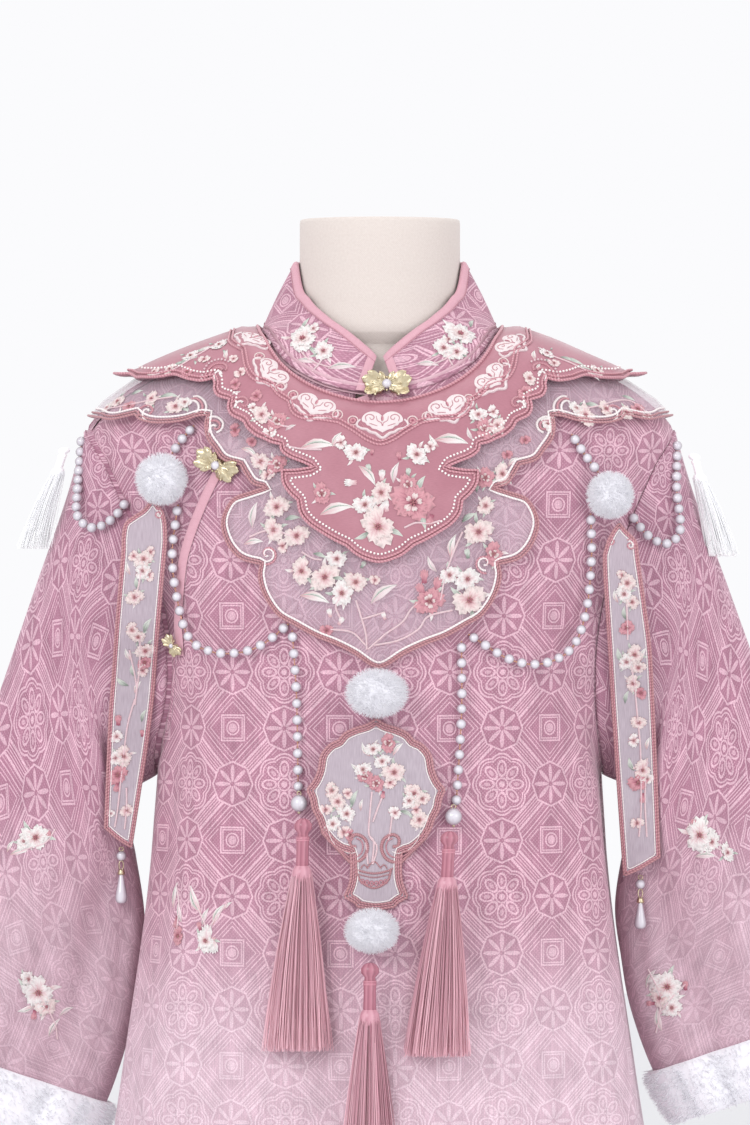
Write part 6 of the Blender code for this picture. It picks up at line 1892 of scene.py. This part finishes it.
# top, foot, rows and half width of the strips in a side seam; their sections; and the
# section of the strip in an armhole: shift towards the sleeve and depth
SEAM_STRIPS = ((UNDERARM_Z - 1, HEM_Z, 120, 0.06), (SHOULDER_TOP, SHOULDER_Z - 3, 16, 0.14))
SEAM_SECTION = table("-1 1.4, -0.3 0.7, 0 0.55, 0.3 0.7, 1 1.4")
ARMHOLE_SECTION = table("1 1.3, -2 1.5, -5 1.9, -9 2.8")


def build_seams(side, word):
    """Seam allowances that close the robe from within.

    They lie behind a side seam, the outer end of the shoulder seam above it, and an armhole.
    """
    form, middle = Form(), math.pi * (side < 0)
    for top, low, count, wide in SEAM_STRIPS:
        z = np.linspace(top, low, count)
        rows = np.array([body_points(middle + share * wide, z)
                         - body_normals(middle + share * wide, z) * CLOTH * under
                         for share, under in SEAM_SECTION])
        add_strip(form, rows, rows[..., [1, 2]])
    form.make("side_seam_" + word, [ROBE])
    head = sleeve_rings(side)[0][0]
    inward = unit((head.mean(axis=0) - head) * (0, 1, 1))
    bent = np.exp((head[:, 2] - SHOULDER_Z) / SHOULDER_TURN)
    rows = []
    for shift, under in ARMHOLE_SECTION:
        row = head + inward * under + (side * shift, 0, 0)
        row[:, 2] += (ridge_z(row[:, 0]) - ridge_z(head[:, 0])) * bent
        rows.append(row)
    rows, form = np.array(rows), Form()
    form.add(rows, grid_faces(4, rows.shape[1], closed=True), rows[..., [1, 2]])
    form.make("armhole_seam_" + word, [ROBE_SLEEVE])


# ---------------- stand and floor
def lay_floor():
    bpy.ops.mesh.primitive_plane_add(size=30.0, location=(0, 2.0, 0))
    floor = bpy.context.object
    floor.name = "studio_floor"
    made, n = start_finish("floor_paper")
    grain = n("TexNoise", {"Vector": n("TexCoord", output=3), "Scale": 60.0, "Detail": 2.0})
    end_finish(n, n("Mix.RGBA", {6: "#ECECEE", 7: "#F0F0F2", 0: grain}, output=2), 0.9)
    floor.data.materials.append(made)


def finish_stand():
    """The pole and the foot keep their solids and take the stand's lacquer."""
    for name in ("form_pole", "form_base"):
        solid = bpy.data.objects[name]
        solid.data.materials.clear()
        solid.data.materials.append(FOOT)


# ---------------- the whole robe
set_studio()
panels = [build_panel(name) for name in PANELS]
sleeves = [build_sleeve(-1, "sleeve_left"), build_sleeve(1, "sleeve_right")]
collar = build_collar()
build_collar_binding()
build_placket_binding()
build_form()
lower, upper = build_cloud_lower(), build_cloud_upper()
build_lower_work(lower)
build_upper_work(upper)
for hanging in HANGINGS:
    build_hanging(*hanging)
build_robe_work("stand_collar_silks", Skin(collar.tree()), COLLAR_WORK, COLLAR_STEMS)
build_robe_work("robe_silks", Skin(*(form.tree() for form in (panels[0], panels[2], *sleeves))),
                ROBE_WORK, ROBE_STEMS)
build_seams(-1, "left")
build_seams(1, "right")
finish_stand()
lay_floor()
for build, names in ((build_string, STRINGS), (build_big_pearl, BIG_PEARLS), (build_drop, DROPS),
                     (build_pompom, POMPOMS), (build_tassel, TASSELS)):
    for name in names:
        build(name)
build_cuff(-1, "cuff_left")
build_cuff(1, "cuff_right")
for name in CLASPS:
    build_clasp(name)
